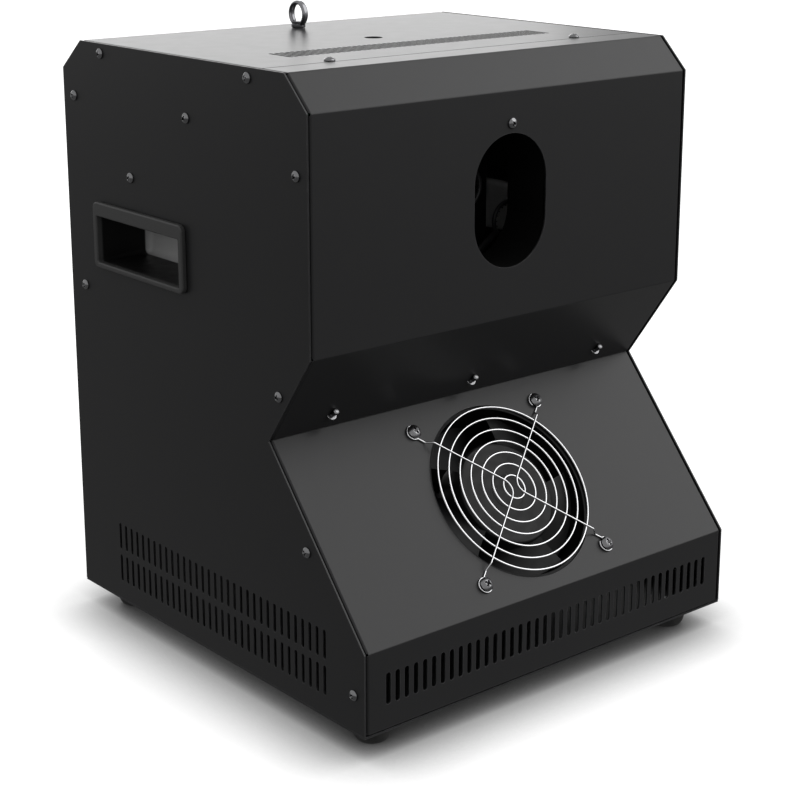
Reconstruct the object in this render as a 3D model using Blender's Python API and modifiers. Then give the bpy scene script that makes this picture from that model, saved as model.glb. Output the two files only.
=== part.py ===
"""Stage bubble and haze machine: a folded steel case with a sloping fan panel, and the works inside it.

Every piece is modelled in the case's own frame, in metres: X across the width, Y from the rear face (0)
towards the front (negative), Z up from the underside of the case. The empty "case_origin" stands all of
them on the floor, with the world's origin at the middle of the footprint.
"""

import math

import bmesh
import bpy
from mathutils import Matrix, Vector

# Case
HALF_WIDTH = 0.155
DEPTH = 0.3112
SHEET = 0.0012
GAP = 0.0003
SIDE_GAP = 0.0009
FOOT_HEIGHT = 0.018
BASE_BOTTOM = -0.0023
REAR_REACH = 0.0046

# Corners of the case's profile, as (y, z)
REAR_FOOT = (0.0, -0.0009)
REAR_TOP = (0.0, 0.3570)
TOP_REAR = (-0.0231, 0.3761)
TOP_FRONT = (-0.2424, 0.3761)
FACE_TOP = (-0.2631, 0.3554)
FACE_BOTTOM = (-0.2631, 0.2145)
WAIST = (-0.2217, 0.1561)
KNEE = (-0.3112, 0.0503)
TOE = (-0.3112, -0.0009)
CASE_TOP = TOP_REAR[1]
SEAM_Y = -0.2185

# Inside of the side panels, and the half width of the covers between them
INNER_HALF = HALF_WIDTH - SHEET
COVER_HALF = INNER_HALF - SIDE_GAP
LIP = 0.012

# Sloping fan panel
SLOPE_ANGLE = math.atan2(WAIST[1] - KNEE[1], WAIST[0] - KNEE[0])
FAN_DOWN_SLOPE = 0.070
FAN_HOLE_RADIUS = 0.0593
FAN_SIZE = 0.120
FAN_DEPTH = 0.038
FAN_SCREW_HALF = 0.0525
FAN_BORE = 0.0572
FAN_HUB = 0.035
FAN_RECESS = 0.0025

# Wire guard
GUARD_PITCH = 0.008
GUARD_RINGS = 7
GUARD_HEIGHT = 0.0042
WIRE_RADIUS = 0.0008

# Oval outlet in the upright face
OUTLET_HALF_WIDTH = 0.02975
OUTLET_HALF_HEIGHT = 0.0415
OUTLET_Z = 0.2879
OUTLET_SCREW_Z = 0.3355

# Bubble wheel and the outlet fan behind it
WHEEL_Y = -0.2075
WHEEL_Z = 0.228
WHEEL_RADIUS = 0.060
LOOP_RADIUS = 0.0125
LOOP_WIRE = 0.0014
LOOPS = 8
LOOP_PHASE = math.radians(12)
PLATE_Y = -0.1910
OUTLET_FAN_SIZE = 0.080
OUTLET_FAN_DEPTH = 0.025
OUTLET_FAN_BORE = 0.0375
OUTLET_FAN_HUB = 0.019
OUTLET_FAN_RECESS = 0.002
OUTLET_FAN_SCREW_HALF = 0.03575
SHELF_Z = 0.137

# Hand pockets
HANDLE_Y = -0.0879
HANDLE_Z = 0.2520
HANDLE_WIDTH = 0.104
HANDLE_HEIGHT = 0.0435
POCKET_WIDTH = 0.0950
POCKET_HEIGHT = 0.0306
POCKET_DROP = 0.0028
POCKET_DEPTH = 0.037
POCKET_WALL = 0.002
BEZEL = 0.0035

# Tanks
TANK_BACK = -0.010
TANK_FRONT = -0.165
TANK_BOTTOM = -0.0008
TANK_TOP = 0.095
TANK_SLOPE = 0.040
TANK_WALL = 0.0025
TANK_HALF = 0.066
TANK_X = 0.0745
NECK_BORE = 0.0125
NECK_RADIUS = 0.0148
NECK_LENGTH = 0.012
FILLER_Y = TANK_BACK - TANK_SLOPE / 2
FILLER_Z = TANK_TOP - TANK_SLOPE / 2

# Control panel and mains inlet on the back
DISPLAY_X = 0.080
DISPLAY_Z = 0.300
BUTTON_RADIUS = 0.004
BUTTON_PITCH = 0.014
BUTTON_Z = 0.272
INLET_X = -0.090
INLET_Z = 0.185
SWITCH_X = -0.050
SWITCH_TILT = math.radians(8)

# Top of the case
EYE_Y = -0.050
EYE_HEIGHT = 0.0096
EYE_RADIUS = 0.0076
EYE_COLLAR = 0.0049
RIGGING_HOLE_Y = -0.131
RIGGING_HOLE_RADIUS = 0.0060
VENT_Y = -0.1735

ROUND = 24


# Scene and materials


def clear_scene():
    for thing in list(bpy.data.objects):
        bpy.data.objects.remove(thing, do_unlink=True)


def collection(name):
    made = bpy.data.collections.new(name)
    bpy.context.scene.collection.children.link(made)
    return made


clear_scene()
PARTS = collection("bubble_machine")
CUTTERS = collection("cutters")

CASE = bpy.data.objects.new("case_origin", None)
CASE.location = (0, (DEPTH - REAR_REACH) / 2, FOOT_HEIGHT)
PARTS.objects.link(CASE)

FINISHES = {
    "painted_steel": ((0.022, 0.022, 0.024), 0.42, 0.0),
    "black_plastic": ((0.015, 0.015, 0.016), 0.38, 0.0),
    "rubber": ((0.012, 0.012, 0.012), 0.75, 0.0),
    "chrome": ((0.80, 0.80, 0.82), 0.10, 1.0),
    "dark_chrome": ((0.35, 0.35, 0.37), 0.18, 1.0),
    "zinc": ((0.55, 0.56, 0.58), 0.35, 1.0),
    "cast_metal": ((0.10, 0.10, 0.11), 0.50, 0.8),
    "wheel_plastic": ((0.050, 0.052, 0.055), 0.30, 0.0),
    "tank_plastic": ((0.80, 0.82, 0.80), 0.40, 0.0),
    "clear_hose": ((0.85, 0.86, 0.86), 0.25, 0.0),
    "circuit_board": ((0.02, 0.16, 0.06), 0.45, 0.0),
    "window": ((0.02, 0.03, 0.05), 0.08, 0.0),
    "red_plastic": ((0.55, 0.02, 0.02), 0.35, 0.0),
}


def finish(name, slot):
    colour, roughness, metallic = FINISHES[slot]
    made = bpy.data.materials.new(name)
    made.use_nodes = True
    shader = made.node_tree.nodes["Principled BSDF"]
    shader.inputs["Base Color"].default_value = (*colour, 1)
    shader.inputs["Roughness"].default_value = roughness
    shader.inputs["Metallic"].default_value = metallic
    return made


# Shapes


def add(name, data, slot):
    made = bpy.data.objects.new(name, data)
    PARTS.objects.link(made)
    made.parent = CASE
    made.data.materials.clear()
    made.data.materials.append(finish(name, slot))
    return made


def smooth(thing, angle=35):
    thing.data.shade_smooth()
    thing.data.set_sharp_from_angle(angle=math.radians(angle))


def rectangle(half_x, half_y, centre=(0, 0)):
    x, y = centre
    left, right = x - half_x, x + half_x
    return [(left, y - half_y), (right, y - half_y), (right, y + half_y), (left, y + half_y)]


def circle(radius, centre=(0, 0), sides=ROUND):
    turns = [2 * math.pi * i / sides for i in range(sides)]
    return [(centre[0] + radius * math.cos(a), centre[1] + radius * math.sin(a)) for a in turns]


def rounded(half_x, half_y, radius, centre=(0, 0), steps=4):
    """Rectangle with round corners, counterclockwise."""
    points = []
    for quarter, (sx, sy) in enumerate([(1, 1), (-1, 1), (-1, -1), (1, -1)]):
        cx = centre[0] + sx * (half_x - radius)
        cy = centre[1] + sy * (half_y - radius)
        for i in range(steps + 1):
            a = math.pi / 2 * (quarter + i / steps)
            points.append((cx + radius * math.cos(a), cy + radius * math.sin(a)))
    return points


def stadium(half_width, half_height, centre=(0, 0), steps=8):
    """Upright slot with semicircular ends."""
    points = []
    rise = half_height - half_width
    for end in (1, -1):
        for i in range(steps + 1):
            a = math.pi * i / steps
            x = half_width * math.cos(a) * end
            y = half_width * math.sin(a) * end + rise * end
            points.append((centre[0] + x, centre[1] + y))
    return points


def outline_curve(name, outlines, thickness):
    """Flat outline with holes, centred on its own XY plane."""
    curve = bpy.data.curves.new(name, "CURVE")
    curve.dimensions = "2D"
    curve.fill_mode = "BOTH"
    curve.extrude = thickness / 2
    for outline in outlines:
        spline = curve.splines.new("POLY")
        spline.points.add(len(outline) - 1)
        for point, (x, y) in zip(spline.points, outline):
            point.co = (x, y, 0, 1)
        spline.use_cyclic_u = True
    return curve


def as_mesh(curve):
    """Closed mesh of a curve, with its caps welded to its sides."""
    holder = bpy.data.objects.new("holder", curve)
    bpy.context.scene.collection.objects.link(holder)
    evaluated = holder.evaluated_get(bpy.context.evaluated_depsgraph_get())
    mesh = bpy.data.meshes.new_from_object(evaluated)
    bpy.data.objects.remove(holder)
    bpy.data.curves.remove(curve)
    shape = bmesh.new()
    shape.from_mesh(mesh)
    bmesh.ops.remove_doubles(shape, verts=shape.verts, dist=0.00001)
    bmesh.ops.recalc_face_normals(shape, faces=shape.faces)
    shape.to_mesh(mesh)
    shape.free()
    return mesh


def slab(outlines, thickness):
    return as_mesh(outline_curve("slab", outlines, thickness))


def block(size):
    shape = bmesh.new()
    bmesh.ops.create_cube(shape, size=1, matrix=Matrix.Diagonal((*size, 1)))
    mesh = bpy.data.meshes.new("block")
    shape.to_mesh(mesh)
    shape.free()
    return mesh


def rod(radius, length, sides=ROUND, top_radius=None):
    """Cylinder or cone along its own Z, centred."""
    shape = bmesh.new()
    bmesh.ops.create_cone(
        shape,
        cap_ends=True,
        segments=sides,
        radius1=radius,
        radius2=radius if top_radius is None else top_radius,
        depth=length,
    )
    mesh = bpy.data.meshes.new("rod")
    shape.to_mesh(mesh)
    shape.free()
    return mesh


def torus(major, minor, sides, ring_sides):
    """Ring round its own Z: a circle turned about the axis."""
    shape = bmesh.new()
    rows = []
    for i in range(sides):
        a = 2 * math.pi * i / sides
        row = []
        for j in range(ring_sides):
            b = 2 * math.pi * j / ring_sides
            reach = major + minor * math.cos(b)
            row.append(shape.verts.new((reach * math.cos(a), reach * math.sin(a), minor * math.sin(b))))
        rows.append(row)
    for i in range(sides):
        here, there = rows[i], rows[(i + 1) % sides]
        for j in range(ring_sides):
            k = (j + 1) % ring_sides
            shape.faces.new((here[j], there[j], there[k], here[k]))
    mesh = bpy.data.meshes.new("torus")
    shape.to_mesh(mesh)
    shape.free()
    return mesh


def wire(points, radius, resolution=2):
    """Closed mesh of a round wire through the given points."""
    curve = bpy.data.curves.new("wire", "CURVE")
    curve.dimensions = "3D"
    curve.bevel_depth = radius
    curve.bevel_resolution = resolution
    curve.use_fill_caps = True
    spline = curve.splines.new("POLY")
    spline.points.add(len(points) - 1)
    for point, place in zip(spline.points, points):
        point.co = (*place, 1)
    return as_mesh(curve)


def smooth_route(knots, steps=5):
    """Points along a Catmull-Rom curve through the knots."""
    ends = [Vector(knots[0]), *[Vector(k) for k in knots], Vector(knots[-1])]
    route = []
    for a, b, c, d in zip(ends, ends[1:], ends[2:], ends[3:]):
        for i in range(steps):
            t = i / steps
            square = (2 * a - 5 * b + 4 * c - d) * t**2
            cube = (3 * b - a - 3 * c + d) * t**3
            route.append((2 * b + (c - a) * t + square + cube) / 2)
    return [*route, ends[-1]]


def turned(name, profile, slot, sides=ROUND):
    """Solid turned round Z from a closed half profile of (radius, z), listed down its outer side."""
    mesh = bpy.data.meshes.new(name)
    points = [(r, 0, z) for r, z in profile]
    edges = [(i, i + 1) for i in range(len(points) - 1)]
    if profile[0][0] > 0:
        edges.append((len(points) - 1, 0))
    mesh.from_pydata(points, edges, [])
    made = add(name, mesh, slot)
    screw = made.modifiers.new("turn", "SCREW")
    screw.steps = screw.render_steps = sides
    screw.use_merge_vertices = True
    screw.merge_threshold = 0.00001
    return made


def merge(thing, mesh, matrix, operation):
    """Boolean between a node and a mesh placed in the node's own frame."""
    tool = bpy.data.objects.new(f"{thing.name}_{operation.lower()}", mesh)
    CUTTERS.objects.link(tool)
    tool.parent = thing
    tool.matrix_local = matrix
    tool.hide_render = True
    tool.display_type = "WIRE"
    change = thing.modifiers.new(operation.lower(), "BOOLEAN")
    change.operation = operation
    change.object = tool
    change.solver = "EXACT"


def cut(thing, mesh, matrix):
    merge(thing, mesh, matrix, "DIFFERENCE")


def join(thing, mesh, matrix):
    merge(thing, mesh, matrix, "UNION")


def at(x=0.0, y=0.0, z=0.0):
    return Matrix.Translation((x, y, z))


def turn(degrees, axis):
    return Matrix.Rotation(math.radians(degrees), 4, axis)


# A slab's own XY plane stands upright: facing forwards, or facing right with its X to the rear
FACING_FRONT = turn(90, "X")
FACING_SIDE = turn(90, "Z") @ turn(90, "X")
ALONG_Y = turn(-90, "X")


def slots(count, pitch, half_width, half_height, centre):
    """Row of straight slots along the outline's X."""
    first = centre[0] - pitch * (count - 1) / 2
    return [rectangle(half_width, half_height, (first + pitch * i, centre[1])) for i in range(count)]


def slot_cutter(count, pitch, size):
    """One mesh of equal bars in a row along X."""
    shape = bmesh.new()
    for i in range(count):
        place = at(pitch * (i - (count - 1) / 2)) @ Matrix.Diagonal((*size, 1))
        bmesh.ops.create_cube(shape, size=1, matrix=place)
    mesh = bpy.data.meshes.new("slot_cutter")
    shape.to_mesh(mesh)
    shape.free()
    return mesh


# Folded covers


def inset(profile, distance):
    """The open profile moved inwards, to the left of its direction, with mitred bends."""
    moved = []
    for i, here in enumerate(profile):
        here = Vector(here)
        before = (here - Vector(profile[i - 1])).normalized() if i else None
        after = (Vector(profile[i + 1]) - here).normalized() if i + 1 < len(profile) else None
        before = before or after
        after = after or before
        middle = (before + after).normalized()
        normal = Vector((-middle.y, middle.x))
        reach = distance / normal.dot(Vector((-before.y, before.x)))
        moved.append(tuple(here + normal * reach))
    return moved


def cover(name, profile):
    """Folded sheet along a (y, z) profile, with a lip at each side."""
    half = COVER_HALF
    shape = bmesh.new()
    rows = []
    for (y, z), (lip_y, lip_z) in zip(profile, inset(profile, LIP)):
        places = [(-half, lip_y, lip_z), (-half, y, z), (half, y, z), (half, lip_y, lip_z)]
        rows.append([shape.verts.new(p) for p in places])
    for upper, lower in zip(rows, rows[1:]):
        for i in range(3):
            shape.faces.new((upper[i], upper[i + 1], lower[i + 1], lower[i]))
    bmesh.ops.recalc_face_normals(shape, faces=shape.faces)
    outward = Vector((0, profile[1][1] - profile[0][1], profile[0][0] - profile[1][0]))
    first = next(face for face in shape.faces if rows[0][1] in face.verts and rows[1][2] in face.verts)
    if first.normal.dot(outward) < 0:
        bmesh.ops.reverse_faces(shape, faces=shape.faces)
    mesh = bpy.data.meshes.new(name)
    shape.to_mesh(mesh)
    shape.free()
    made = add(name, mesh, "painted_steel")
    thick = made.modifiers.new("sheet", "SOLIDIFY")
    thick.thickness = SHEET
    thick.offset = -1
    thick.use_even_offset = True
    return made


def front_upper_cover():
    """Front of the top, chamfer, upright face with the outlet, and under-slope. Its flange steps down and
    lies under the top cover's front edge."""
    end = (WAIST[0] - 0.0006, WAIST[1] + 0.0009)
    seam = SEAM_Y - 0.0006
    made = cover("front_upper_cover", [(seam, CASE_TOP), TOP_FRONT, FACE_TOP, FACE_BOTTOM, end])
    drop = SHEET + 2 * GAP
    width = 2 * (COVER_HALF - 3 * SHEET)
    step = drop + SHEET
    join(made, block((width, SHEET, step - 0.0001)), at(0, seam - 0.0007, CASE_TOP - step / 2))
    join(made, block((width, 0.016, SHEET)), at(0, seam + 0.0070, CASE_TOP - drop - SHEET / 2))
    outlet = stadium(OUTLET_HALF_WIDTH, OUTLET_HALF_HEIGHT)
    cut(made, slab([outlet], 0.02), at(0, FACE_TOP[0], OUTLET_Z) @ FACING_FRONT)
    cut(made, rod(0.0022, 0.02, 12), at(0, FACE_TOP[0], OUTLET_SCREW_Z) @ ALONG_Y)


def on_slope(down=0.0, out=0.0):
    """Frame on the sloping panel: X across, Y up the slope, Z out of it. Its origin is given by the distance
    down from the waist and the height above the panel."""
    place = at(0, *WAIST) @ turn(math.degrees(SLOPE_ANGLE), "X")
    return place @ at(0, -down, out)


def front_lower_cover():
    """Sloping fan panel and vented lower face. Its flange lies behind the upper cover's under-slope."""
    waist = Vector(WAIST)
    up_slope = (waist - Vector(KNEE)).normalized()
    under = (Vector(FACE_BOTTOM) - waist).normalized()
    behind = Vector((under.y, -under.x))
    start = waist + up_slope * (SHEET + GAP) / up_slope.dot(behind)
    made = cover("front_lower_cover", [tuple(start), KNEE, (TOE[0], -0.0002)])
    length = 0.020
    middle = start + behind * SHEET / 2 + under * (length / 2 - 0.0008)
    tilt = math.atan2(under.y, under.x)
    width = 2 * (COVER_HALF - 3 * SHEET)
    join(made, block((width, length, SHEET)), at(0, *middle) @ Matrix.Rotation(tilt, 4, "X"))
    centre = on_slope(FAN_DOWN_SLOPE)
    cut(made, rod(FAN_HOLE_RADIUS, 0.02, 40), centre)
    for sx in (-1, 1):
        for sy in (-1, 1):
            cut(made, rod(0.0023, 0.02, 8), centre @ at(sx * FAN_SCREW_HALF, sy * FAN_SCREW_HALF))
    cut(made, slot_cutter(40, 0.00703, (0.0035, 0.02, 0.020)), at(0, TOE[0], 0.0249))


def top_cover():
    made = cover("top_cover", [(-0.0001, REAR_TOP[1] + 0.0002), TOP_REAR, (SEAM_Y + 0.0004, CASE_TOP)])
    cut(made, slot_cutter(54, 0.0040, (0.0025, 0.023, 0.02)), at(0, VENT_Y, CASE_TOP))
    cut(made, rod(RIGGING_HOLE_RADIUS, 0.02, ROUND), at(0, RIGGING_HOLE_Y, CASE_TOP))
    cut(made, rod(0.0033, 0.02, 12), at(0, EYE_Y, CASE_TOP))


# Flat panels


def panel(name, outlines, matrix):
    made = add(name, outline_curve(name, outlines, SHEET), "painted_steel")
    made.matrix_local = matrix
    return made


def side_panel(side):
    name = "left_side_panel" if side < 0 else "right_side_panel"
    profile = [REAR_FOOT, REAR_TOP, TOP_REAR, TOP_FRONT, FACE_TOP, FACE_BOTTOM, WAIST, KNEE, TOE]
    window = rounded(
        POCKET_WIDTH / 2 + POCKET_WALL + GAP,
        POCKET_HEIGHT / 2 + POCKET_WALL + GAP,
        0.004,
        (HANDLE_Y, HANDLE_Z - POCKET_DROP),
    )
    lower = slots(33, 0.00704, 0.0014, 0.0095, (-0.1611, 0.0215))
    upper = slots(33, 0.00704, 0.0014, 0.00925, (-0.1611, 0.04455))
    place = at(side * (HALF_WIDTH - SHEET / 2)) @ FACING_SIDE
    panel(name, [profile, window, *lower, *upper], place)


def back_panel():
    """Seen from the front: X across, Z up."""
    half = COVER_HALF
    low, high = -0.0002, REAR_TOP[1] - 0.0014
    outlines = [rectangle(half, (high - low) / 2, (0, (high + low) / 2))]
    for side in (-1, 1):
        outlines.append(rounded(0.032, 0.042, 0.006, (side * TANK_X, 0.092), 3))
    outlines.append(rectangle(0.0243, 0.0103, (DISPLAY_X, DISPLAY_Z)))
    for i in range(4):
        outlines.append(circle(BUTTON_RADIUS + GAP, (button_x(i), BUTTON_Z), 12))
    outlines.append(rectangle(0.0138, 0.0188, (INLET_X, INLET_Z)))
    outlines.append(rectangle(0.0098, 0.0143, (SWITCH_X, INLET_Z)))
    for row in range(2):
        outlines += slots(14, 0.0100, 0.0022, 0.011, (-0.060, 0.285 + 0.032 * row))
    panel("back_panel", outlines, at(0, -SHEET / 2) @ FACING_FRONT)


def base_pan():
    """Bottom plate whose edges lie under the panels, with a rim that stands inside them."""
    plate = rectangle(HALF_WIDTH - 0.0002, -TOE[0] / 2 - 0.0002)
    made = add("base_pan", slab([plate], SHEET), "painted_steel")
    made.location = (0, TOE[0] / 2, BASE_BOTTOM + SHEET / 2)
    half_x = INNER_HALF - 0.0026
    half_y = -TOE[0] / 2 - 0.0030
    rise = 0.0127
    rim = slab([rectangle(half_x, half_y), rectangle(half_x - SHEET, half_y - SHEET)], rise)
    join(made, rim, at(0, 0, rise / 2))


def middle_shelf():
    half = COVER_HALF - 0.0030
    front = -0.2120
    rear = -0.0140
    outline = [(-half, front), (half, front), (half, rear), (-half, rear)]
    holes = [circle(0.006, (0.118, -0.1760), 12), circle(0.006, (-0.120, -0.0500), 12)]
    panel("middle_shelf", [outline, *holes], at(0, 0, SHELF_Z + SHEET / 2))


# Handles, feet and fixings


def handle(side):
    """Hand pocket: a raised frame outside the panel and a cup inside it."""
    name = "left_handle" if side < 0 else "right_handle"
    frame = rounded(HANDLE_WIDTH / 2, HANDLE_HEIGHT / 2, 0.0045)
    made = add(name, slab([frame], BEZEL), "black_plastic")
    middle = HALF_WIDTH + GAP + BEZEL / 2
    floor = HALF_WIDTH - POCKET_DEPTH
    mouth = HALF_WIDTH + 0.010
    made.matrix_local = at(side * middle, HANDLE_Y, HANDLE_Z) @ FACING_SIDE
    reach = middle - floor + POCKET_WALL
    cup = rounded(POCKET_WIDTH / 2 + POCKET_WALL, POCKET_HEIGHT / 2 + POCKET_WALL, 0.0035, (0, -POCKET_DROP))
    pocket = rounded(POCKET_WIDTH / 2, POCKET_HEIGHT / 2, 0.0015, (0, -POCKET_DROP))
    join(made, slab([cup], reach), at(0, 0, -side * reach / 2))
    cut(made, slab([pocket], mouth - floor), at(0, 0, side * ((mouth + floor) / 2 - middle)))


def foot(name, x, y):
    """Tapered rubber foot with a recessed screw hole."""
    top = BASE_BOTTOM - GAP
    profile = [(0.0135, top), (0.0115, -0.0150), (0.0090, -FOOT_HEIGHT), (0.0050, -FOOT_HEIGHT)]
    profile += [(0.0050, -0.0100), (0.0022, -0.0100), (0.0022, top)]
    made = turned(name, profile, "rubber", 16)
    made.location = (x, y, 0)
    smooth(made)


def feet():
    inset_x = HALF_WIDTH - 0.025
    foot("foot_front_left", -inset_x, -0.2869)
    foot("foot_front_right", inset_x, -0.2869)
    foot("foot_rear_left", -inset_x, -0.0243)
    foot("foot_rear_right", inset_x, -0.0243)


def eye_bolt():
    """Lifting eye with a collar above the top cover and a shank through it."""
    collar = 0.0048
    shank = 0.0110
    made = add("eye_bolt", rod(EYE_COLLAR, collar, 16, 0.0044), "dark_chrome")
    made.location = (0, EYE_Y, CASE_TOP + GAP + collar / 2)
    join(made, rod(0.0029, shank, 16), at(0, 0, -shank / 2 + 0.0002))
    eye = torus(EYE_RADIUS, 0.0016, 24, 8)
    ring = at(0, 0, EYE_HEIGHT - GAP - collar / 2) @ Matrix.Diagonal((1.4, 1, 1, 1)) @ turn(90, "Y")
    join(made, eye, ring)


def eye_bolt_nut():
    made = add("eye_bolt_nut", rod(0.0075, 0.0065, 6), "zinc")
    made.location = (0, EYE_Y, CASE_TOP - SHEET - GAP - 0.00325)
    cut(made, rod(0.0032, 0.02, 16), Matrix.Identity(4))


def pan_head(name, matrix, radius, height, shank):
    """Pan head screw standing along Z, with the underside of its head at z = 0."""
    head = [(0.0, height), (0.5 * radius, 0.93 * height), (0.87 * radius, 0.55 * height), (radius, 0.0)]
    profile = [*head, (0.0019, 0.0), (0.0019, -shank), (0.0, -shank)]
    made = turned(name, profile, "dark_chrome", 12)
    made.matrix_local = matrix
    smooth(made)


# Fans


def blade_mesh(inner, outer, chord, height):
    """Thin pitched blade along X, wider and flatter towards its tip."""
    shape = bmesh.new()
    bmesh.ops.create_grid(shape, x_segments=4, y_segments=3, size=0.5)
    for vert in shape.verts:
        along = vert.co.x + 0.5
        across = vert.co.y
        radius = inner + (outer - inner) * along
        sweep = (across * chord * (0.75 + 0.35 * along) + 0.004 * along) / radius
        rise = height * (1.0 - 0.25 * along)
        camber = 0.0025 * (1 - 4 * across * across)
        vert.co = (radius * math.cos(sweep), radius * math.sin(sweep), across * rise + camber)
    mesh = bpy.data.meshes.new("blade")
    shape.to_mesh(mesh)
    shape.free()
    return mesh


def thickened(mesh, thickness):
    """Closed mesh of an open surface, made by Solidify."""
    holder = bpy.data.objects.new("holder", mesh)
    bpy.context.scene.collection.objects.link(holder)
    thick = holder.modifiers.new("thick", "SOLIDIFY")
    thick.thickness = thickness
    thick.offset = 0
    evaluated = holder.evaluated_get(bpy.context.evaluated_depsgraph_get())
    made = bpy.data.meshes.new_from_object(evaluated)
    bpy.data.objects.remove(holder)
    return made


def fan_frame(name, matrix, size, depth, bore, hub, screw_half):
    """Square fan frame whose front face is at z = 0, with a motor hub held by four struts at its back."""
    half = size / 2
    outlines = [rounded(half, half, 0.004, steps=2), circle(bore, sides=32)]
    for sx in (-1, 1):
        for sy in (-1, 1):
            outlines.append(circle(0.0023, (sx * screw_half, sy * screw_half), 8))
    made = add(name, slab(outlines, depth), "cast_metal")
    made.matrix_local = matrix @ at(0, 0, -depth / 2)
    back = -depth / 2
    join(made, rod(hub, 0.0060, ROUND), at(0, 0, back + 0.0035))
    reach = (bore + hub) / 2
    length = bore - hub + 0.004
    for i in range(4):
        spoke = turn(45 + 90 * i, "Z") @ at(reach, 0, back + 0.0028)
        join(made, block((length, 0.0050, 0.0030)), spoke)


def fan_rotor(name, matrix, depth, bore, hub, blades):
    """Impeller in front of the struts, turning about its own Z, with its origin at its middle."""
    made = add(name, rod(hub - 0.0012, depth, ROUND), "black_plastic")
    made.matrix_local = matrix
    surface = blade_mesh(hub - 0.0040, bore - 0.0018, 2.1 * bore / blades, depth * 0.80)
    blade = thickened(surface, 0.0016)
    for i in range(blades):
        join(made, blade, turn(360 * i / blades, "Z"))


def lower_fan():
    place = on_slope(FAN_DOWN_SLOPE, -SHEET - GAP)
    fan_frame("lower_fan_frame", place, FAN_SIZE, FAN_DEPTH, FAN_BORE, FAN_HUB, FAN_SCREW_HALF)
    depth = 0.026
    middle = place @ at(0, 0, -FAN_RECESS - depth / 2)
    fan_rotor("lower_fan_rotor", middle, depth, FAN_BORE, FAN_HUB, 5)


def outlet_fan():
    place = at(0, PLATE_Y + GAP + SHEET, OUTLET_Z) @ turn(90, "X")
    fan_frame(
        "outlet_fan_frame",
        place,
        OUTLET_FAN_SIZE,
        OUTLET_FAN_DEPTH,
        OUTLET_FAN_BORE,
        OUTLET_FAN_HUB,
        OUTLET_FAN_SCREW_HALF,
    )
    depth = 0.0155
    middle = place @ at(0, 0, -OUTLET_FAN_RECESS - depth / 2)
    fan_rotor("outlet_fan_rotor", middle, depth, OUTLET_FAN_BORE, OUTLET_FAN_HUB, 7)


# Wire guard


def guard_spoke(side):
    """One wire: round a lower screw, up to the rings, past the centre, and down to the upper screw."""
    corner = Vector((FAN_SCREW_HALF, FAN_SCREW_HALF))
    low = GAP + WIRE_RADIUS
    high = GUARD_HEIGHT + 1.6 * WIRE_RADIUS
    loop = 0.0033
    inward = math.radians(225)
    points = []
    for i in range(9):
        a = inward + math.radians(60 + 285 * (1 - i / 8))
        points.append((corner.x + loop * math.cos(a), corner.y + loop * math.sin(a), low))
    start = Vector(points[-1][:2])
    goal = Vector((0.0030, 0.0))
    for share, height in ((0.10, low), (0.20, high), (0.45, high), (0.70, high), (0.88, high)):
        spot = start.lerp(goal, share)
        points.append((spot.x, spot.y, height))
    points.append((goal.x, goal.y, high))
    other = [(x, -y, z) for x, y, z in reversed(points[:-1])]
    return [(side * x, y, z) for x, y, z in points + other]


def fan_guard():
    place = on_slope(FAN_DOWN_SLOPE)
    made = add("fan_guard", torus(GUARD_PITCH * GUARD_RINGS, WIRE_RADIUS, 24, 5), "chrome")
    made.matrix_local = place @ at(0, 0, GUARD_HEIGHT)
    for i in range(1, GUARD_RINGS):
        join(made, torus(GUARD_PITCH * i, WIRE_RADIUS, 10 + 2 * i, 5), Matrix.Identity(4))
    for side in (-1, 1):
        join(made, wire(guard_spoke(side), WIRE_RADIUS), at(0, 0, -GUARD_HEIGHT))


def guard_screws():
    place = on_slope(FAN_DOWN_SLOPE, GAP + 2 * WIRE_RADIUS + GAP)
    for i, (sx, sy) in enumerate([(-1, 1), (1, 1), (1, -1), (-1, -1)]):
        corner = place @ at(sx * FAN_SCREW_HALF, sy * FAN_SCREW_HALF)
        pan_head(f"guard_screw_{i + 1}", corner, 0.0045, 0.0031, 0.012)


# Bubble works


def outlet_duct():
    """Oval collar behind the outlet, on a flange that one screw holds to the face."""
    inner = stadium(OUTLET_HALF_WIDTH + 0.0008, OUTLET_HALF_HEIGHT + 0.0008)
    collar = stadium(OUTLET_HALF_WIDTH + 0.0028, OUTLET_HALF_HEIGHT + 0.0028)
    flange = rounded(0.038, 0.0560, 0.008, (0, 0.0010))
    hole = circle(0.0022, (0, OUTLET_SCREW_Z - OUTLET_Z), 12)
    thickness = 0.0020
    face = FACE_TOP[0] + SHEET + GAP
    made = add("outlet_duct", slab([flange, inner, hole], thickness), "black_plastic")
    made.matrix_local = at(0, face + thickness / 2, OUTLET_Z) @ FACING_FRONT
    length = 0.034
    join(made, slab([collar, inner], length), at(0, 0, -(length - thickness) / 2 - 0.0002))


def duct_screw():
    pan_head("duct_screw", at(0, FACE_TOP[0] - GAP, OUTLET_SCREW_Z) @ turn(90, "X"), 0.0034, 0.0024, 0.008)


def bubble_wheel():
    """Wheel of blowing loops that turns about Y, with its origin on the axis."""
    made = add("bubble_wheel", rod(0.0100, 0.0080, ROUND), "wheel_plastic")
    made.matrix_local = at(0, WHEEL_Y, WHEEL_Z) @ turn(90, "X")
    cut(made, rod(0.0023, 0.02, 12), Matrix.Identity(4))
    arm = WHEEL_RADIUS - LOOP_RADIUS - 0.0080
    for i in range(LOOPS):
        spin = Matrix.Rotation(-LOOP_PHASE + 2 * math.pi * i / LOOPS, 4, "Z")
        join(made, block((0.0034, arm, 0.0030)), spin @ at(0, 0.0080 + arm / 2))
        join(made, torus(LOOP_RADIUS, LOOP_WIRE, 12, 5), spin @ at(0, WHEEL_RADIUS))


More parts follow.
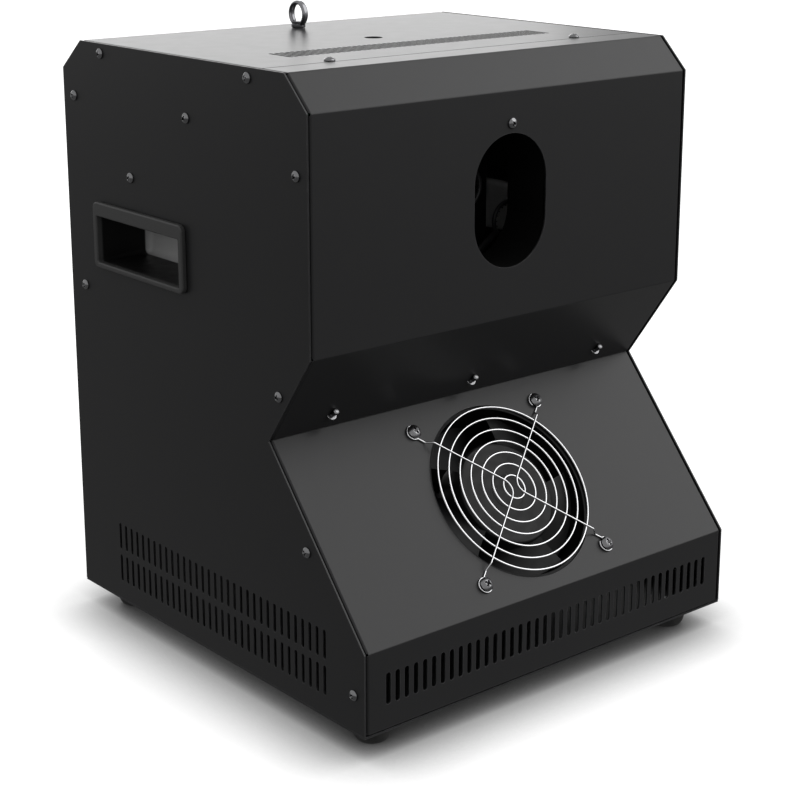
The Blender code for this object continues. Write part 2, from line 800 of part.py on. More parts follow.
def wheel_shaft():
    front = WHEEL_Y - 0.0060
    rear = PLATE_Y + 0.0090
    made = add("wheel_shaft", rod(0.0020, rear - front, 12), "zinc")
    made.matrix_local = at(0, (front + rear) / 2, WHEEL_Z) @ ALONG_Y


def wheel_motor():
    """Geared motor behind the works plate, with a bore for the shaft."""
    length = 0.026
    made = add("wheel_motor", rod(0.0125, length, ROUND), "cast_metal")
    made.matrix_local = at(0, PLATE_Y + SHEET + GAP + length / 2, WHEEL_Z) @ ALONG_Y
    cut(made, rod(0.0023, 0.0160, 12), at(0, 0, -length / 2))
    join(made, block((0.007, 0.010, 0.006)), at(0, 0, length / 2 + 0.0029))


def works_plate():
    """Bent bracket on the shelf that carries the wheel's motor and the outlet fan."""
    bottom = SHELF_Z + SHEET + GAP
    top = 0.334
    half = 0.046
    height = top - bottom
    middle = (top + bottom) / 2
    outline = rectangle(half, height / 2)
    fan_hole = circle(OUTLET_FAN_BORE, (0, OUTLET_Z - middle), 32)
    shaft_hole = circle(0.0026, (0, WHEEL_Z - middle), 12)
    made = add("works_plate", slab([outline, fan_hole, shaft_hole], SHEET), "painted_steel")
    made.matrix_local = at(0, PLATE_Y + SHEET / 2, middle) @ FACING_FRONT
    foot_length = 0.022
    join(
        made,
        block((2 * half - 0.0002, SHEET, foot_length)),
        at(0, -(height - SHEET) / 2, -foot_length / 2 + 0.0001),
    )


def open_box(name, size, place, wall, slot):
    """Box without a lid. Its origin is the middle of its underside."""
    made = add(name, block(size), slot)
    made.location = (place[0], place[1], place[2] + size[2] / 2)
    inside = (size[0] - 2 * wall, size[1] - 2 * wall, size[2])
    cut(made, block(inside), at(0, 0, wall))


def fluid_tray():
    place = (0, -0.2050, SHELF_Z + SHEET + GAP)
    open_box("fluid_tray", (0.170, 0.0222, 0.034), place, 0.0016, "wheel_plastic")


# Tanks


def tank(name, side):
    """Moulded tank whose sloped rear shoulder carries the filler neck."""
    profile = [
        (TANK_FRONT, TANK_BOTTOM),
        (TANK_BACK, TANK_BOTTOM),
        (TANK_BACK, TANK_TOP - TANK_SLOPE),
        (TANK_BACK - TANK_SLOPE, TANK_TOP),
        (TANK_FRONT, TANK_TOP),
    ]
    wall = TANK_WALL
    shoulder = wall * math.tan(math.pi / 8)
    hollow = [
        (TANK_FRONT + wall, TANK_BOTTOM + wall),
        (TANK_BACK - wall, TANK_BOTTOM + wall),
        (TANK_BACK - wall, TANK_TOP - TANK_SLOPE - shoulder),
        (TANK_BACK - TANK_SLOPE - shoulder, TANK_TOP - wall),
        (TANK_FRONT + wall, TANK_TOP - wall),
    ]
    made = add(name, slab([profile], 2 * TANK_HALF), "tank_plastic")
    made.matrix_local = at(side * TANK_X) @ FACING_SIDE
    neck = at(FILLER_Y, FILLER_Z) @ turn(-45, "Z") @ turn(-90, "X")
    join(made, rod(NECK_RADIUS, NECK_LENGTH + 0.002, ROUND), neck @ at(0, 0, NECK_LENGTH / 2 - 0.001))
    cut(made, slab([hollow], 2 * (TANK_HALF - wall)), Matrix.Identity(4))
    cut(made, rod(NECK_BORE, 0.05, ROUND), neck @ at(0, 0, 0.012))


def tank_cap(name, side):
    """Screw cap over the filler neck, with its origin on the neck's axis."""
    outer = NECK_RADIUS + GAP + 0.0022
    top = 0.0180
    lid = NECK_LENGTH + GAP
    bottom = 0.0012
    profile = [
        (0.0, top),
        (outer - 0.0012, top),
        (outer, top - 0.0012),
        (outer, bottom),
        (NECK_RADIUS + GAP, bottom),
        (NECK_RADIUS + GAP, lid),
        (0.0, lid),
    ]
    made = turned(name, profile, "black_plastic", 20)
    made.matrix_local = at(side * TANK_X, FILLER_Y, FILLER_Z) @ turn(-45, "X")
    smooth(made)


# Haze works, pumps and hoses


def haze_heater():
    made = add("haze_heater", block((0.060, 0.085, 0.042)), "cast_metal")
    made.location = (-0.105, -0.1150, SHELF_Z + SHEET + GAP + 0.0210)
    for i in range(5):
        cut(made, block((0.0040, 0.10, 0.010)), at(-0.024 + 0.012 * i, 0, 0.021))


def haze_tube():
    """Tube from the heater, round the works plate, to the bubble wheel's upper loops."""
    start_y = -0.1150 - 0.0425 - GAP
    knots = [
        (-0.100, start_y, 0.1560),
        (-0.098, -0.1720, 0.1580),
        (-0.088, -0.1850, 0.1800),
        (-0.080, -0.1880, 0.2200),
        (-0.074, -0.1900, 0.2560),
        (-0.062, -0.1960, 0.2780),
        (-0.046, -0.1985, 0.2860),
        (-0.034, -0.1990, 0.2879),
    ]
    add("haze_tube", wire(smooth_route(knots, 2), 0.0030), "zinc")


def pump(name, x, y):
    """Small piston pump: a body on the shelf with a round head."""
    base = SHELF_Z + SHEET + GAP
    made = add(name, block((0.034, 0.040, 0.026)), "black_plastic")
    made.location = (x, y, base + 0.013)
    join(made, rod(0.012, 0.016, 16), at(0, 0, 0.0205))


def hose(name, knots):
    add(name, wire(smooth_route(knots, 2), 0.0028), "clear_hose")


def hoses():
    base = SHELF_Z + SHEET + GAP
    hose(
        "bubble_suction_hose",
        [
            (0.118, -0.1580, TANK_TOP + 0.0012),
            (0.118, -0.1620, 0.1120),
            (0.118, -0.1760, 0.1280),
            (0.118, -0.1760, 0.1450),
            (0.122, -0.1700, 0.1520),
            (0.122, -0.1592, 0.1520),
        ],
    )
    hose(
        "tray_feed_hose",
        [
            (0.1036, -0.1380, 0.1500),
            (0.0960, -0.1410, 0.1510),
            (0.0900, -0.1700, 0.1700),
            (0.0820, -0.1950, 0.1800),
            (0.0780, -0.2040, 0.1740),
            (0.0780, -0.2050, 0.1600),
        ],
    )
    hose(
        "haze_suction_hose",
        [
            (-0.120, -0.0560, TANK_TOP + 0.0012),
            (-0.120, -0.0550, 0.1100),
            (-0.120, -0.0500, 0.1280),
            (-0.120, -0.0500, 0.1460),
            (-0.116, -0.0480, 0.1520),
            (-0.1086, -0.0470, 0.1520),
        ],
    )
    hose(
        "haze_feed_hose",
        [
            (-0.0900, -0.0608, base + 0.013),
            (-0.0900, -0.0650, 0.1525),
            (-0.0900, -0.0680, 0.1540),
            (-0.0900, -0.0717, 0.1545),
        ],
    )


def power_supply():
    made = add("power_supply", block((0.070, 0.095, 0.038)), "zinc")
    made.location = (0.085, -0.0620, SHELF_Z + SHEET + GAP + 0.0190)
    for i in range(6):
        cut(made, block((0.050, 0.0030, 0.010)), at(0, -0.030 + 0.012 * i, 0.019))


# Back panel fittings


def button_x(i):
    return DISPLAY_X + BUTTON_PITCH * (i - 1.5)


def control_board():
    """Circuit board behind the display and the buttons, with its terminal block."""
    made = add("control_board", block((0.100, 0.0016, 0.110)), "circuit_board")
    made.location = (DISPLAY_X, -0.0150, 0.270)
    join(made, block((0.046, 0.0070, 0.018)), at(0, 0.0040, DISPLAY_Z - 0.270))
    join(made, block((0.060, 0.0100, 0.010)), at(0, -0.0050, -0.045))
    join(made, block((0.020, 0.0080, 0.020)), at(0.020, -0.0040, 0.030))


def display_window():
    made = add("display_window", block((0.0480, 0.0020, 0.0200)), "window")
    made.location = (DISPLAY_X, -0.0006, DISPLAY_Z)


def menu_button(i):
    """Round key through the back panel, kept in by its wider foot."""
    profile = [
        (0.0, 0.0016),
        (BUTTON_RADIUS - 0.0006, 0.0016),
        (BUTTON_RADIUS, 0.0010),
        (BUTTON_RADIUS, -0.0015),
        (BUTTON_RADIUS + 0.0010, -0.0015),
        (BUTTON_RADIUS + 0.0010, -0.0035),
        (0.0, -0.0035),
    ]
    made = turned(f"menu_button_{i + 1}", profile, "black_plastic", 12)
    made.matrix_local = at(button_x(i), 0, BUTTON_Z) @ ALONG_Y
    smooth(made)


def power_inlet():
    """Mains inlet with three pins and a pocket for the fuse drawer below them."""
    made = add("power_inlet", block((0.0270, 0.0230, 0.0370)), "black_plastic")
    made.location = (INLET_X, -0.0105, INLET_Z)
    join(made, block((0.0330, 0.0026, 0.0430)), at(0, 0.0121))
    cut(made, block((0.0226, 0.0180, 0.0150)), at(0, 0.0075, 0.0070))
    for x, z in ((-0.0070, 0.0050), (0.0070, 0.0050), (0.0, 0.0095)):
        join(made, block((0.0020, 0.0105, 0.0038)), at(x, 0.0034, z))
    cut(made, block((0.0206, 0.0180, 0.0086)), at(0, 0.0075, -0.0105))


def fuse_drawer():
    """Drawer for the fuse, in the pocket under the inlet's pins."""
    made = add("fuse_drawer", block((0.0200, 0.0142, 0.0080)), "black_plastic")
    made.location = (INLET_X, -0.0044, INLET_Z - 0.0105)
    join(made, block((0.0080, 0.0021, 0.0020)), at(0, 0.00795))
    cut(made, block((0.0160, 0.0090, 0.0060)), at(0, -0.0010, 0.0020))


def switch_housing():
    made = add("switch_housing", block((0.0190, 0.0210, 0.0280)), "black_plastic")
    made.location = (SWITCH_X, -0.0095, INLET_Z)
    join(made, block((0.0230, 0.0022, 0.0320)), at(0, 0.0109))
    cut(made, block((0.0130, 0.0180, 0.0240)), at(0, 0.0055))


def rocker():
    """Switch key that tips about X, with its origin on the pivot's axis."""
    key = [(-0.0095, 0.0030), (-0.0095, 0.0000), (-0.0040, -0.0050), (0.0040, -0.0050), (0.0095, 0.0000)]
    key += [(0.0095, 0.0030), (0.0, 0.0018)]
    made = add("switch_rocker", slab([key], 0.0124), "red_plastic")
    sideways = Matrix(((0, 0, 1, 0), (0, 1, 0, 0), (-1, 0, 0, 0), (0, 0, 0, 1)))
    made.matrix_local = at(SWITCH_X, 0.0, INLET_Z) @ Matrix.Rotation(-SWITCH_TILT, 4, "X") @ sideways


def build():
    front_upper_cover()
    front_lower_cover()
    top_cover()
    back_panel()
    base_pan()
    middle_shelf()
    for side in (-1, 1):
        side_panel(side)
        handle(side)
    feet()
    eye_bolt()
    eye_bolt_nut()
    lower_fan()
    outlet_fan()
    fan_guard()
    guard_screws()
    outlet_duct()
    duct_screw()
    bubble_wheel()
    wheel_shaft()
    wheel_motor()
    works_plate()
    fluid_tray()
    tank("haze_tank", -1)
    tank("bubble_tank", 1)
    tank_cap("haze_tank_cap", -1)
    tank_cap("bubble_tank_cap", 1)
    haze_heater()
    haze_tube()
    pump("haze_pump", -0.0900, -0.0400)
    pump("bubble_pump", 0.1220, -0.1380)
    hoses()
    power_supply()
    control_board()
    display_window()
    for i in range(4):
        menu_button(i)
    power_inlet()
    fuse_drawer()
    switch_housing()
    rocker()


build()
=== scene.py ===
"""Looks of the stage bubble machine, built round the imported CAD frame.

Each piece is modelled in the case's own frame, in metres: X across the width, Y from the rear face (0)
towards the front (negative), Z up from the underside of the case. CASE places that frame on the floor.
"""

import math

import bmesh
import bpy
from mathutils import Matrix, Vector


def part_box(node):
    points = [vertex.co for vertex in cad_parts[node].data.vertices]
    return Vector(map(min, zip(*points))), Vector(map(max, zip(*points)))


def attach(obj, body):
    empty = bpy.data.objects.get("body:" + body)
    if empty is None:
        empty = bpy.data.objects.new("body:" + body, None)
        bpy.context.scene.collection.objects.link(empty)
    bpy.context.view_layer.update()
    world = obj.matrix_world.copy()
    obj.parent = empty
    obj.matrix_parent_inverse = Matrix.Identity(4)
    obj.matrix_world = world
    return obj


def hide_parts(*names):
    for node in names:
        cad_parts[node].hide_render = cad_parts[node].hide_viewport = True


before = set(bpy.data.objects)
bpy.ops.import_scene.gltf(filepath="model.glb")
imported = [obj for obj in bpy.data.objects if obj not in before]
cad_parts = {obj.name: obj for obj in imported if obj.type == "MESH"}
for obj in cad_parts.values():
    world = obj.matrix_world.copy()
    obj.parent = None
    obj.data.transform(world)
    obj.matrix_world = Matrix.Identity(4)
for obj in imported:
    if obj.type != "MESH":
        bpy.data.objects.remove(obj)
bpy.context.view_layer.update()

# Case
HALF_WIDTH = 0.155
SHEET = 0.0012
GAP = 0.0003
FOOT_HEIGHT = 0.018
BASE_BOTTOM = -0.0023
SIDE_GAP = 0.0009
INNER_HALF = HALF_WIDTH - SHEET
COVER_HALF = INNER_HALF - SIDE_GAP
LIP = 0.012
BEND = 0.0018

# Corners of the case's profile, as (y, z)
REAR_FOOT = (0.0, -0.0009)
REAR_TOP = (0.0, 0.3570)
TOP_REAR = (-0.0231, 0.3761)
TOP_FRONT = (-0.2424, 0.3761)
FACE_TOP = (-0.2631, 0.3554)
FACE_BOTTOM = (-0.2631, 0.2145)
WAIST = (-0.2217, 0.1561)
KNEE = (-0.3112, 0.0503)
TOE = (-0.3112, -0.0009)
CASE_TOP = TOP_REAR[1]
SEAM_Y = -0.2185
SLOPE_ANGLE = math.atan2(WAIST[1] - KNEE[1], WAIST[0] - KNEE[0])

# Sloping fan panel and its wire guard
FAN_DOWN_SLOPE = 0.070
FAN_HOLE_RADIUS = 0.0593
FAN_SIZE = 0.120
FAN_DEPTH = 0.038
FAN_SCREW_HALF = 0.0525
FAN_BORE = 0.0572
FAN_HUB = 0.0350
GUARD_PITCH = 0.008
GUARD_RINGS = 7
GUARD_HEIGHT = 0.0042
RING_WIRE = 0.00066
SPOKE_WIRE = 0.00052

# Outlet and the works behind it
OUTLET_HALF_WIDTH = 0.02975
OUTLET_HALF_HEIGHT = 0.0415
OUTLET_Z = 0.2879
OUTLET_SCREW_Z = 0.3355
WHEEL_Y = -0.2075
WHEEL_Z = 0.228
WHEEL_RADIUS = 0.060
LOOP_RADIUS = 0.0125
LOOPS = 8
LOOP_PHASE = math.radians(12)
PLATE_Y = -0.1910

# Hand pockets
HANDLE_Y = -0.0879
HANDLE_Z = 0.2520
HANDLE_WIDTH = 0.104
HANDLE_HEIGHT = 0.0435
POCKET_WIDTH = 0.0950
POCKET_HEIGHT = 0.0306
POCKET_DROP = 0.0028
POCKET_DEPTH = 0.037
POCKET_WALL = 0.002
BEZEL = 0.0035

# Tanks
TANK_BACK = -0.010
TANK_FRONT = -0.165
TANK_BOTTOM = -0.0008
TANK_TOP = 0.095
TANK_SLOPE = 0.040
TANK_HALF = 0.066
TANK_X = 0.0745
NECK_RADIUS = 0.0148
NECK_BORE = 0.0125
NECK_LENGTH = 0.012
FILLER_Y = TANK_BACK - TANK_SLOPE / 2
FILLER_Z = TANK_TOP - TANK_SLOPE / 2

# Back panel fittings
DISPLAY_X = 0.080
DISPLAY_Z = 0.300
BUTTON_RADIUS = 0.004
BUTTON_PITCH = 0.014
BUTTON_Z = 0.272
INLET_X = -0.090
INLET_Z = 0.185
SWITCH_X = -0.050
SWITCH_TILT = 8

# Top of the case
EYE_Y = -0.050
EYE_HEIGHT = 0.0096
EYE_RADIUS = 0.0076
RIGGING_HOLE_Y = -0.131
RIGGING_HOLE_RADIUS = 0.0060
VENT_Y = -0.1735

# Panel screws, as (y, z) on each side
SIDE_SCREWS = [
    (-0.0477, 0.3697),
    (-0.0135, 0.3398),
    (-0.1438, 0.3397),
    (-0.2079, 0.3700),
    (-0.0789, 0.2945),
    (-0.2530, 0.3196),
    (-0.0179, 0.2142),
    (-0.2331, 0.1866),
    (-0.2583, 0.0975),
    (-0.3015, 0.0225),
]

panel_low, panel_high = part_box("left_side_panel")
CASE = Matrix.Translation((0, panel_high.y, panel_low.z - REAR_FOOT[1]))


# Places

HERE = Matrix.Identity(4)


def at(x=0.0, y=0.0, z=0.0):
    return Matrix.Translation((x, y, z))


def turn(degrees, axis):
    return Matrix.Rotation(math.radians(degrees), 4, axis)


FACING_FRONT = turn(90, "X")
FACING_BACK = turn(180, "Z") @ turn(90, "X")


def facing_side(side):
    """Frame whose Z points out of a side panel and whose Y points up."""
    return turn(90 * side, "Z") @ turn(90, "X")


def on_slope(down=0.0, out=0.0):
    """Frame on the sloping panel: X across, Y up the slope, Z out of it."""
    return at(0, *WAIST) @ turn(math.degrees(SLOPE_ANGLE), "X") @ at(0, -down, out)


# Outlines


def rectangle(half_x, half_y, centre=(0, 0)):
    signs = ((-1, -1), (1, -1), (1, 1), (-1, 1))
    return [(centre[0] + sx * half_x, centre[1] + sy * half_y) for sx, sy in signs]


def square_corners(half, centre=(0, 0)):
    """Places of four screws on a square."""
    return [(centre[0] + sx * half, centre[1] + sy * half) for sx in (-1, 1) for sy in (-1, 1)]


def circle(radius, centre=(0, 0), sides=48):
    turns = [2 * math.pi * i / sides for i in range(sides)]
    return [(centre[0] + radius * math.cos(a), centre[1] + radius * math.sin(a)) for a in turns]


def rounded(half_x, half_y, radius, centre=(0, 0), steps=6):
    """Rectangle with round corners, counterclockwise."""
    points = []
    for quarter, (sx, sy) in enumerate([(1, 1), (-1, 1), (-1, -1), (1, -1)]):
        cx = centre[0] + sx * (half_x - radius)
        cy = centre[1] + sy * (half_y - radius)
        for i in range(steps + 1):
            a = math.pi / 2 * (quarter + i / steps)
            points.append((cx + radius * math.cos(a), cy + radius * math.sin(a)))
    return points


def stadium(half_width, half_height, centre=(0, 0), steps=20):
    """Upright slot with semicircular ends."""
    points = []
    rise = half_height - half_width
    for end in (1, -1):
        for i in range(steps + 1):
            a = math.pi * i / steps
            x = half_width * math.cos(a) * end
            y = half_width * math.sin(a) * end + rise * end
            points.append((centre[0] + x, centre[1] + y))
    return points


def slots(count, pitch, half_width, half_height, centre):
    """Row of upright slots with round ends along the outline's X."""
    first = centre[0] - pitch * (count - 1) / 2
    return [stadium(half_width, half_height, (first + pitch * i, centre[1]), 6) for i in range(count)]


# Meshes


def mesh_of(shape, name="shape"):
    mesh = bpy.data.meshes.new(name)
    bmesh.ops.recalc_face_normals(shape, faces=shape.faces)
    shape.to_mesh(mesh)
    shape.free()
    return mesh


def from_curve(curve):
    """Closed mesh of a curve, with its caps welded to its sides."""
    holder = bpy.data.objects.new("holder", curve)
    bpy.context.scene.collection.objects.link(holder)
    evaluated = holder.evaluated_get(bpy.context.evaluated_depsgraph_get())
    mesh = bpy.data.meshes.new_from_object(evaluated)
    bpy.data.objects.remove(holder)
    bpy.data.curves.remove(curve)
    shape = bmesh.new()
    shape.from_mesh(mesh)
    bpy.data.meshes.remove(mesh)
    bmesh.ops.remove_doubles(shape, verts=shape.verts, dist=0.000004)
    return mesh_of(shape)


def sheet(outlines, thickness, edge=0.0002, edge_steps=1):
    """Flat plate with soft edges, centred on its XY plane. The outlines after the first are its holes."""
    curve = bpy.data.curves.new("sheet", "CURVE")
    curve.dimensions = "2D"
    curve.fill_mode = "BOTH"
    curve.extrude = thickness / 2 - edge
    curve.bevel_depth = edge
    curve.bevel_resolution = edge_steps
    curve.offset = -edge
    for outline in outlines:
        spline = curve.splines.new("POLY")
        spline.points.add(len(outline) - 1)
        for point, (x, y) in zip(spline.points, outline):
            point.co = (x, y, 0, 1)
        spline.use_cyclic_u = True
    return from_curve(curve)


def tube(points, radius, sides=12, cyclic=False):
    """Round wire or pipe through the points."""
    curve = bpy.data.curves.new("tube", "CURVE")
    curve.dimensions = "3D"
    curve.bevel_depth = radius
    curve.bevel_resolution = sides // 2 - 1
    curve.use_fill_caps = not cyclic
    spline = curve.splines.new("POLY")
    spline.points.add(len(points) - 1)
    for point, place in zip(spline.points, points):
        point.co = (*place, 1)
    spline.use_cyclic_u = cyclic
    return from_curve(curve)


def loft(rings):
    """Skin over rings with equal numbers of points, whose first and last are capped."""
    shape = bmesh.new()
    rows = [[shape.verts.new(p) for p in ring] for ring in rings]
    for here, there in zip(rows, rows[1:]):
        for i in range(len(here)):
            j = (i + 1) % len(here)
            shape.faces.new((here[i], here[j], there[j], there[i]))
    shape.faces.new(rows[0])
    shape.faces.new(rows[-1])
    return mesh_of(shape)


def flat_ring(outline, z):
    return [(x, y, z) for x, y in outline]


def turned(profile, sides=48):
    """Solid turned round Z from a profile of (radius, z), or a ring if the profile never meets the axis."""
    shape = bmesh.new()
    rows = []
    for radius, z in profile:
        count = sides if radius > 0 else 1
        turns = [2 * math.pi * i / sides for i in range(count)]
        rows.append([shape.verts.new((radius * math.cos(a), radius * math.sin(a), z)) for a in turns])
    pairs = list(zip(rows, rows[1:]))
    if profile[0][0] > 0:
        pairs.append((rows[-1], rows[0]))
    for here, there in pairs:
        for i in range(sides):
            j = (i + 1) % sides
            corners = [here[i % len(here)], here[j % len(here)], there[j % len(there)], there[i % len(there)]]
            shape.faces.new(list(dict.fromkeys(corners)))
    return mesh_of(shape)


def sleeve(inner, outer, top, bottom, sides):
    """Plain tube round Z, or a rod if its inner radius is 0."""
    return turned([(inner, top), (outer, top), (outer, bottom), (inner, bottom)], sides)


def fillet(centre, radius, start, end, steps=5):
    """Points of an arc in a profile, from one angle to another in degrees."""
    turns = [math.radians(start + (end - start) * i / steps) for i in range(steps + 1)]
    return [(centre[0] + radius * math.cos(a), centre[1] + radius * math.sin(a)) for a in turns]


def donut(major, minor, sides, ring_sides):
    """Ring of round wire about Z."""
    return turned(circle(minor, (major, 0), ring_sides), sides)


def soft_block(size, edge, steps=3):
    """Block with round edges, centred."""
    x, y, z = (part / 2 for part in size)
    rings = []
    for end in (-1, 1):
        for i in range(steps + 1):
            share = i / steps if end < 0 else 1 - i / steps
            a = math.pi / 2 * share
            inset = edge * (1 - math.sin(a))
            height = end * (z - edge * (1 - math.cos(a)))
            corner = max(edge * 1.001 - inset * 0.999, edge * 0.05)
            rings.append(flat_ring(rounded(x - inset, y - inset, corner, steps=steps), height))
    return loft(rings)


def uncapped(mesh):
    """A loft without its upper cap, so that two lofts read as one hollow wall."""
    shape = bmesh.new()
    shape.from_mesh(mesh)
    bpy.data.meshes.remove(mesh)
    caps = [face for face in shape.faces if len(face.verts) > 4]
    upper = max(caps, key=lambda face: face.calc_center_median().z)
    bmesh.ops.delete(shape, geom=[upper], context="FACES_ONLY")
    return mesh_of(shape)


def joined(*placed):
    """One mesh from (mesh, matrix) pairs."""
    shape = bmesh.new()
    for mesh, matrix in placed:
        part = mesh.copy()
        part.transform(matrix)
        shape.from_mesh(part)
        bpy.data.meshes.remove(part)
    return mesh_of(shape)


def carved(mesh, cutter, place=HERE):
    """Mesh with another one cut out of it."""
    cutter.transform(place)
    body = bpy.data.objects.new("body", mesh)
    tool = bpy.data.objects.new("tool", cutter)
    for thing in (body, tool):
        bpy.context.scene.collection.objects.link(thing)
    change = body.modifiers.new("cut", "BOOLEAN")
    change.operation = "DIFFERENCE"
    change.object = tool
    change.solver = "EXACT"
    bpy.context.view_layer.update()
    evaluated = body.evaluated_get(bpy.context.evaluated_depsgraph_get())
    made = bpy.data.meshes.new_from_object(evaluated)
    bpy.data.objects.remove(body)
    bpy.data.objects.remove(tool)
    return made


# Folded sheet


class Fold:
    """Path of a folded sheet's outer face along a (y, z) profile: straight runs joined by round bends to the
    left. A place on it is given by the distance along the developed sheet."""

    def __init__(self, corners, radius=BEND):
        corners = [Vector(c) for c in corners]
        self.radius = radius
        self.runs = []
        self.bends = []
        here, along, before_tangent = corners[0], 0.0, 0.0
        for i in range(1, len(corners)):
            heading = (corners[i] - corners[i - 1]).normalized()
            angle, tangent = 0.0, 0.0
            if i + 1 < len(corners):
                after = (corners[i + 1] - corners[i]).normalized()
                angle = math.acos(max(-1, min(1, heading.dot(after))))
                tangent = radius * math.tan(angle / 2)
            end = corners[i] - heading * tangent
            length = (end - here).length
            self.runs.append((along, length, here, heading, before_tangent))
            along += length
            if angle:
                self.bends.append((along, radius * angle, end, heading, angle))
                along += radius * angle
                here = corners[i] + (corners[i + 1] - corners[i]).normalized() * tangent
            before_tangent = tangent
        self.length = along

    def on_run(self, run, distance):
        """Developed distance of a point on a straight run, that far from the run's first sharp corner."""
        start, _, _, _, tangent = self.runs[run]
        return start + distance - tangent

    def place(self, along, depth):
        """(y, z) of a point at a developed distance and a depth below the outer face."""
        for start, length, end, heading, _ in self.bends:
            if start < along < start + length:
                turned_by = (along - start) / self.radius
                inward = Vector((-heading.y, heading.x))
                centre = end + inward * self.radius
                aim = Matrix.Rotation(turned_by, 2) @ inward
                return centre - aim * (self.radius - depth)
        for start, length, here, heading, _ in self.runs:
            if along <= start + length or start == self.runs[-1][0]:
                return here + heading * (along - start) + Vector((-heading.y, heading.x)) * depth
        return here


def blank_outline(fold, half_edge):
    """Outline of the flat blank, with a notch in each side flange at every bend."""
    bottom = COVER_HALF - BEND + 0.3 * BEND * math.pi / 2
    clearance = 0.0002
    right = [(half_edge, 0.0)]
    for start, length, _, _, angle in fold.bends:
        spread = (LIP - BEND) * math.tan(angle / 2) + clearance
        right.append((half_edge, start - spread))
        right.append((bottom, start - clearance))
        right.append((bottom, start + length + clearance))
        right.append((half_edge, start + length + spread))
    right.append((half_edge, fold.length))
    return right + [(-x, y) for x, y in reversed(right)]


def folded(fold, holes):
    """Sheet metal cover: a flat blank with holes, bent down at both sides and then along its profile."""
    half_edge = COVER_HALF - BEND + BEND * math.pi / 2 + LIP - BEND
    flat = sheet([blank_outline(fold, half_edge), *holes], SHEET, edge=0.00018)
    shape = bmesh.new()
    shape.from_mesh(flat)
    bpy.data.meshes.remove(flat)
    lines = [(start + length * i / 6, 1) for start, length, *_ in fold.bends for i in range(7)]
    for i in range(6):
        reach = COVER_HALF - BEND + BEND * math.pi / 2 * i / 5
        lines += [(reach, 0), (-reach, 0)]
    for place, axis in lines:
        spot = Vector((0, 0, 0))
        normal = Vector((0, 0, 0))
        spot[axis] = place
        normal[axis] = 1
        geometry = [*shape.verts, *shape.edges, *shape.faces]
        bmesh.ops.bisect_plane(shape, geom=geometry, dist=0.0000005, plane_co=spot, plane_no=normal)
    for vert in shape.verts:
        under = SHEET / 2 - vert.co.z
        over = abs(vert.co.x) - (COVER_HALF - BEND)
        side = math.copysign(1, vert.co.x)
        if over <= 0:
            x, depth = vert.co.x, under
        elif over < BEND * math.pi / 2:
            x = side * (COVER_HALF - BEND + (BEND - under) * math.sin(over / BEND))
            depth = BEND - (BEND - under) * math.cos(over / BEND)
        else:
            x = side * (COVER_HALF - under)
            depth = BEND + over - BEND * math.pi / 2
        y, z = fold.place(vert.co.y, depth)
        vert.co = (x, y, z)
    return mesh_of(shape)


# Materials


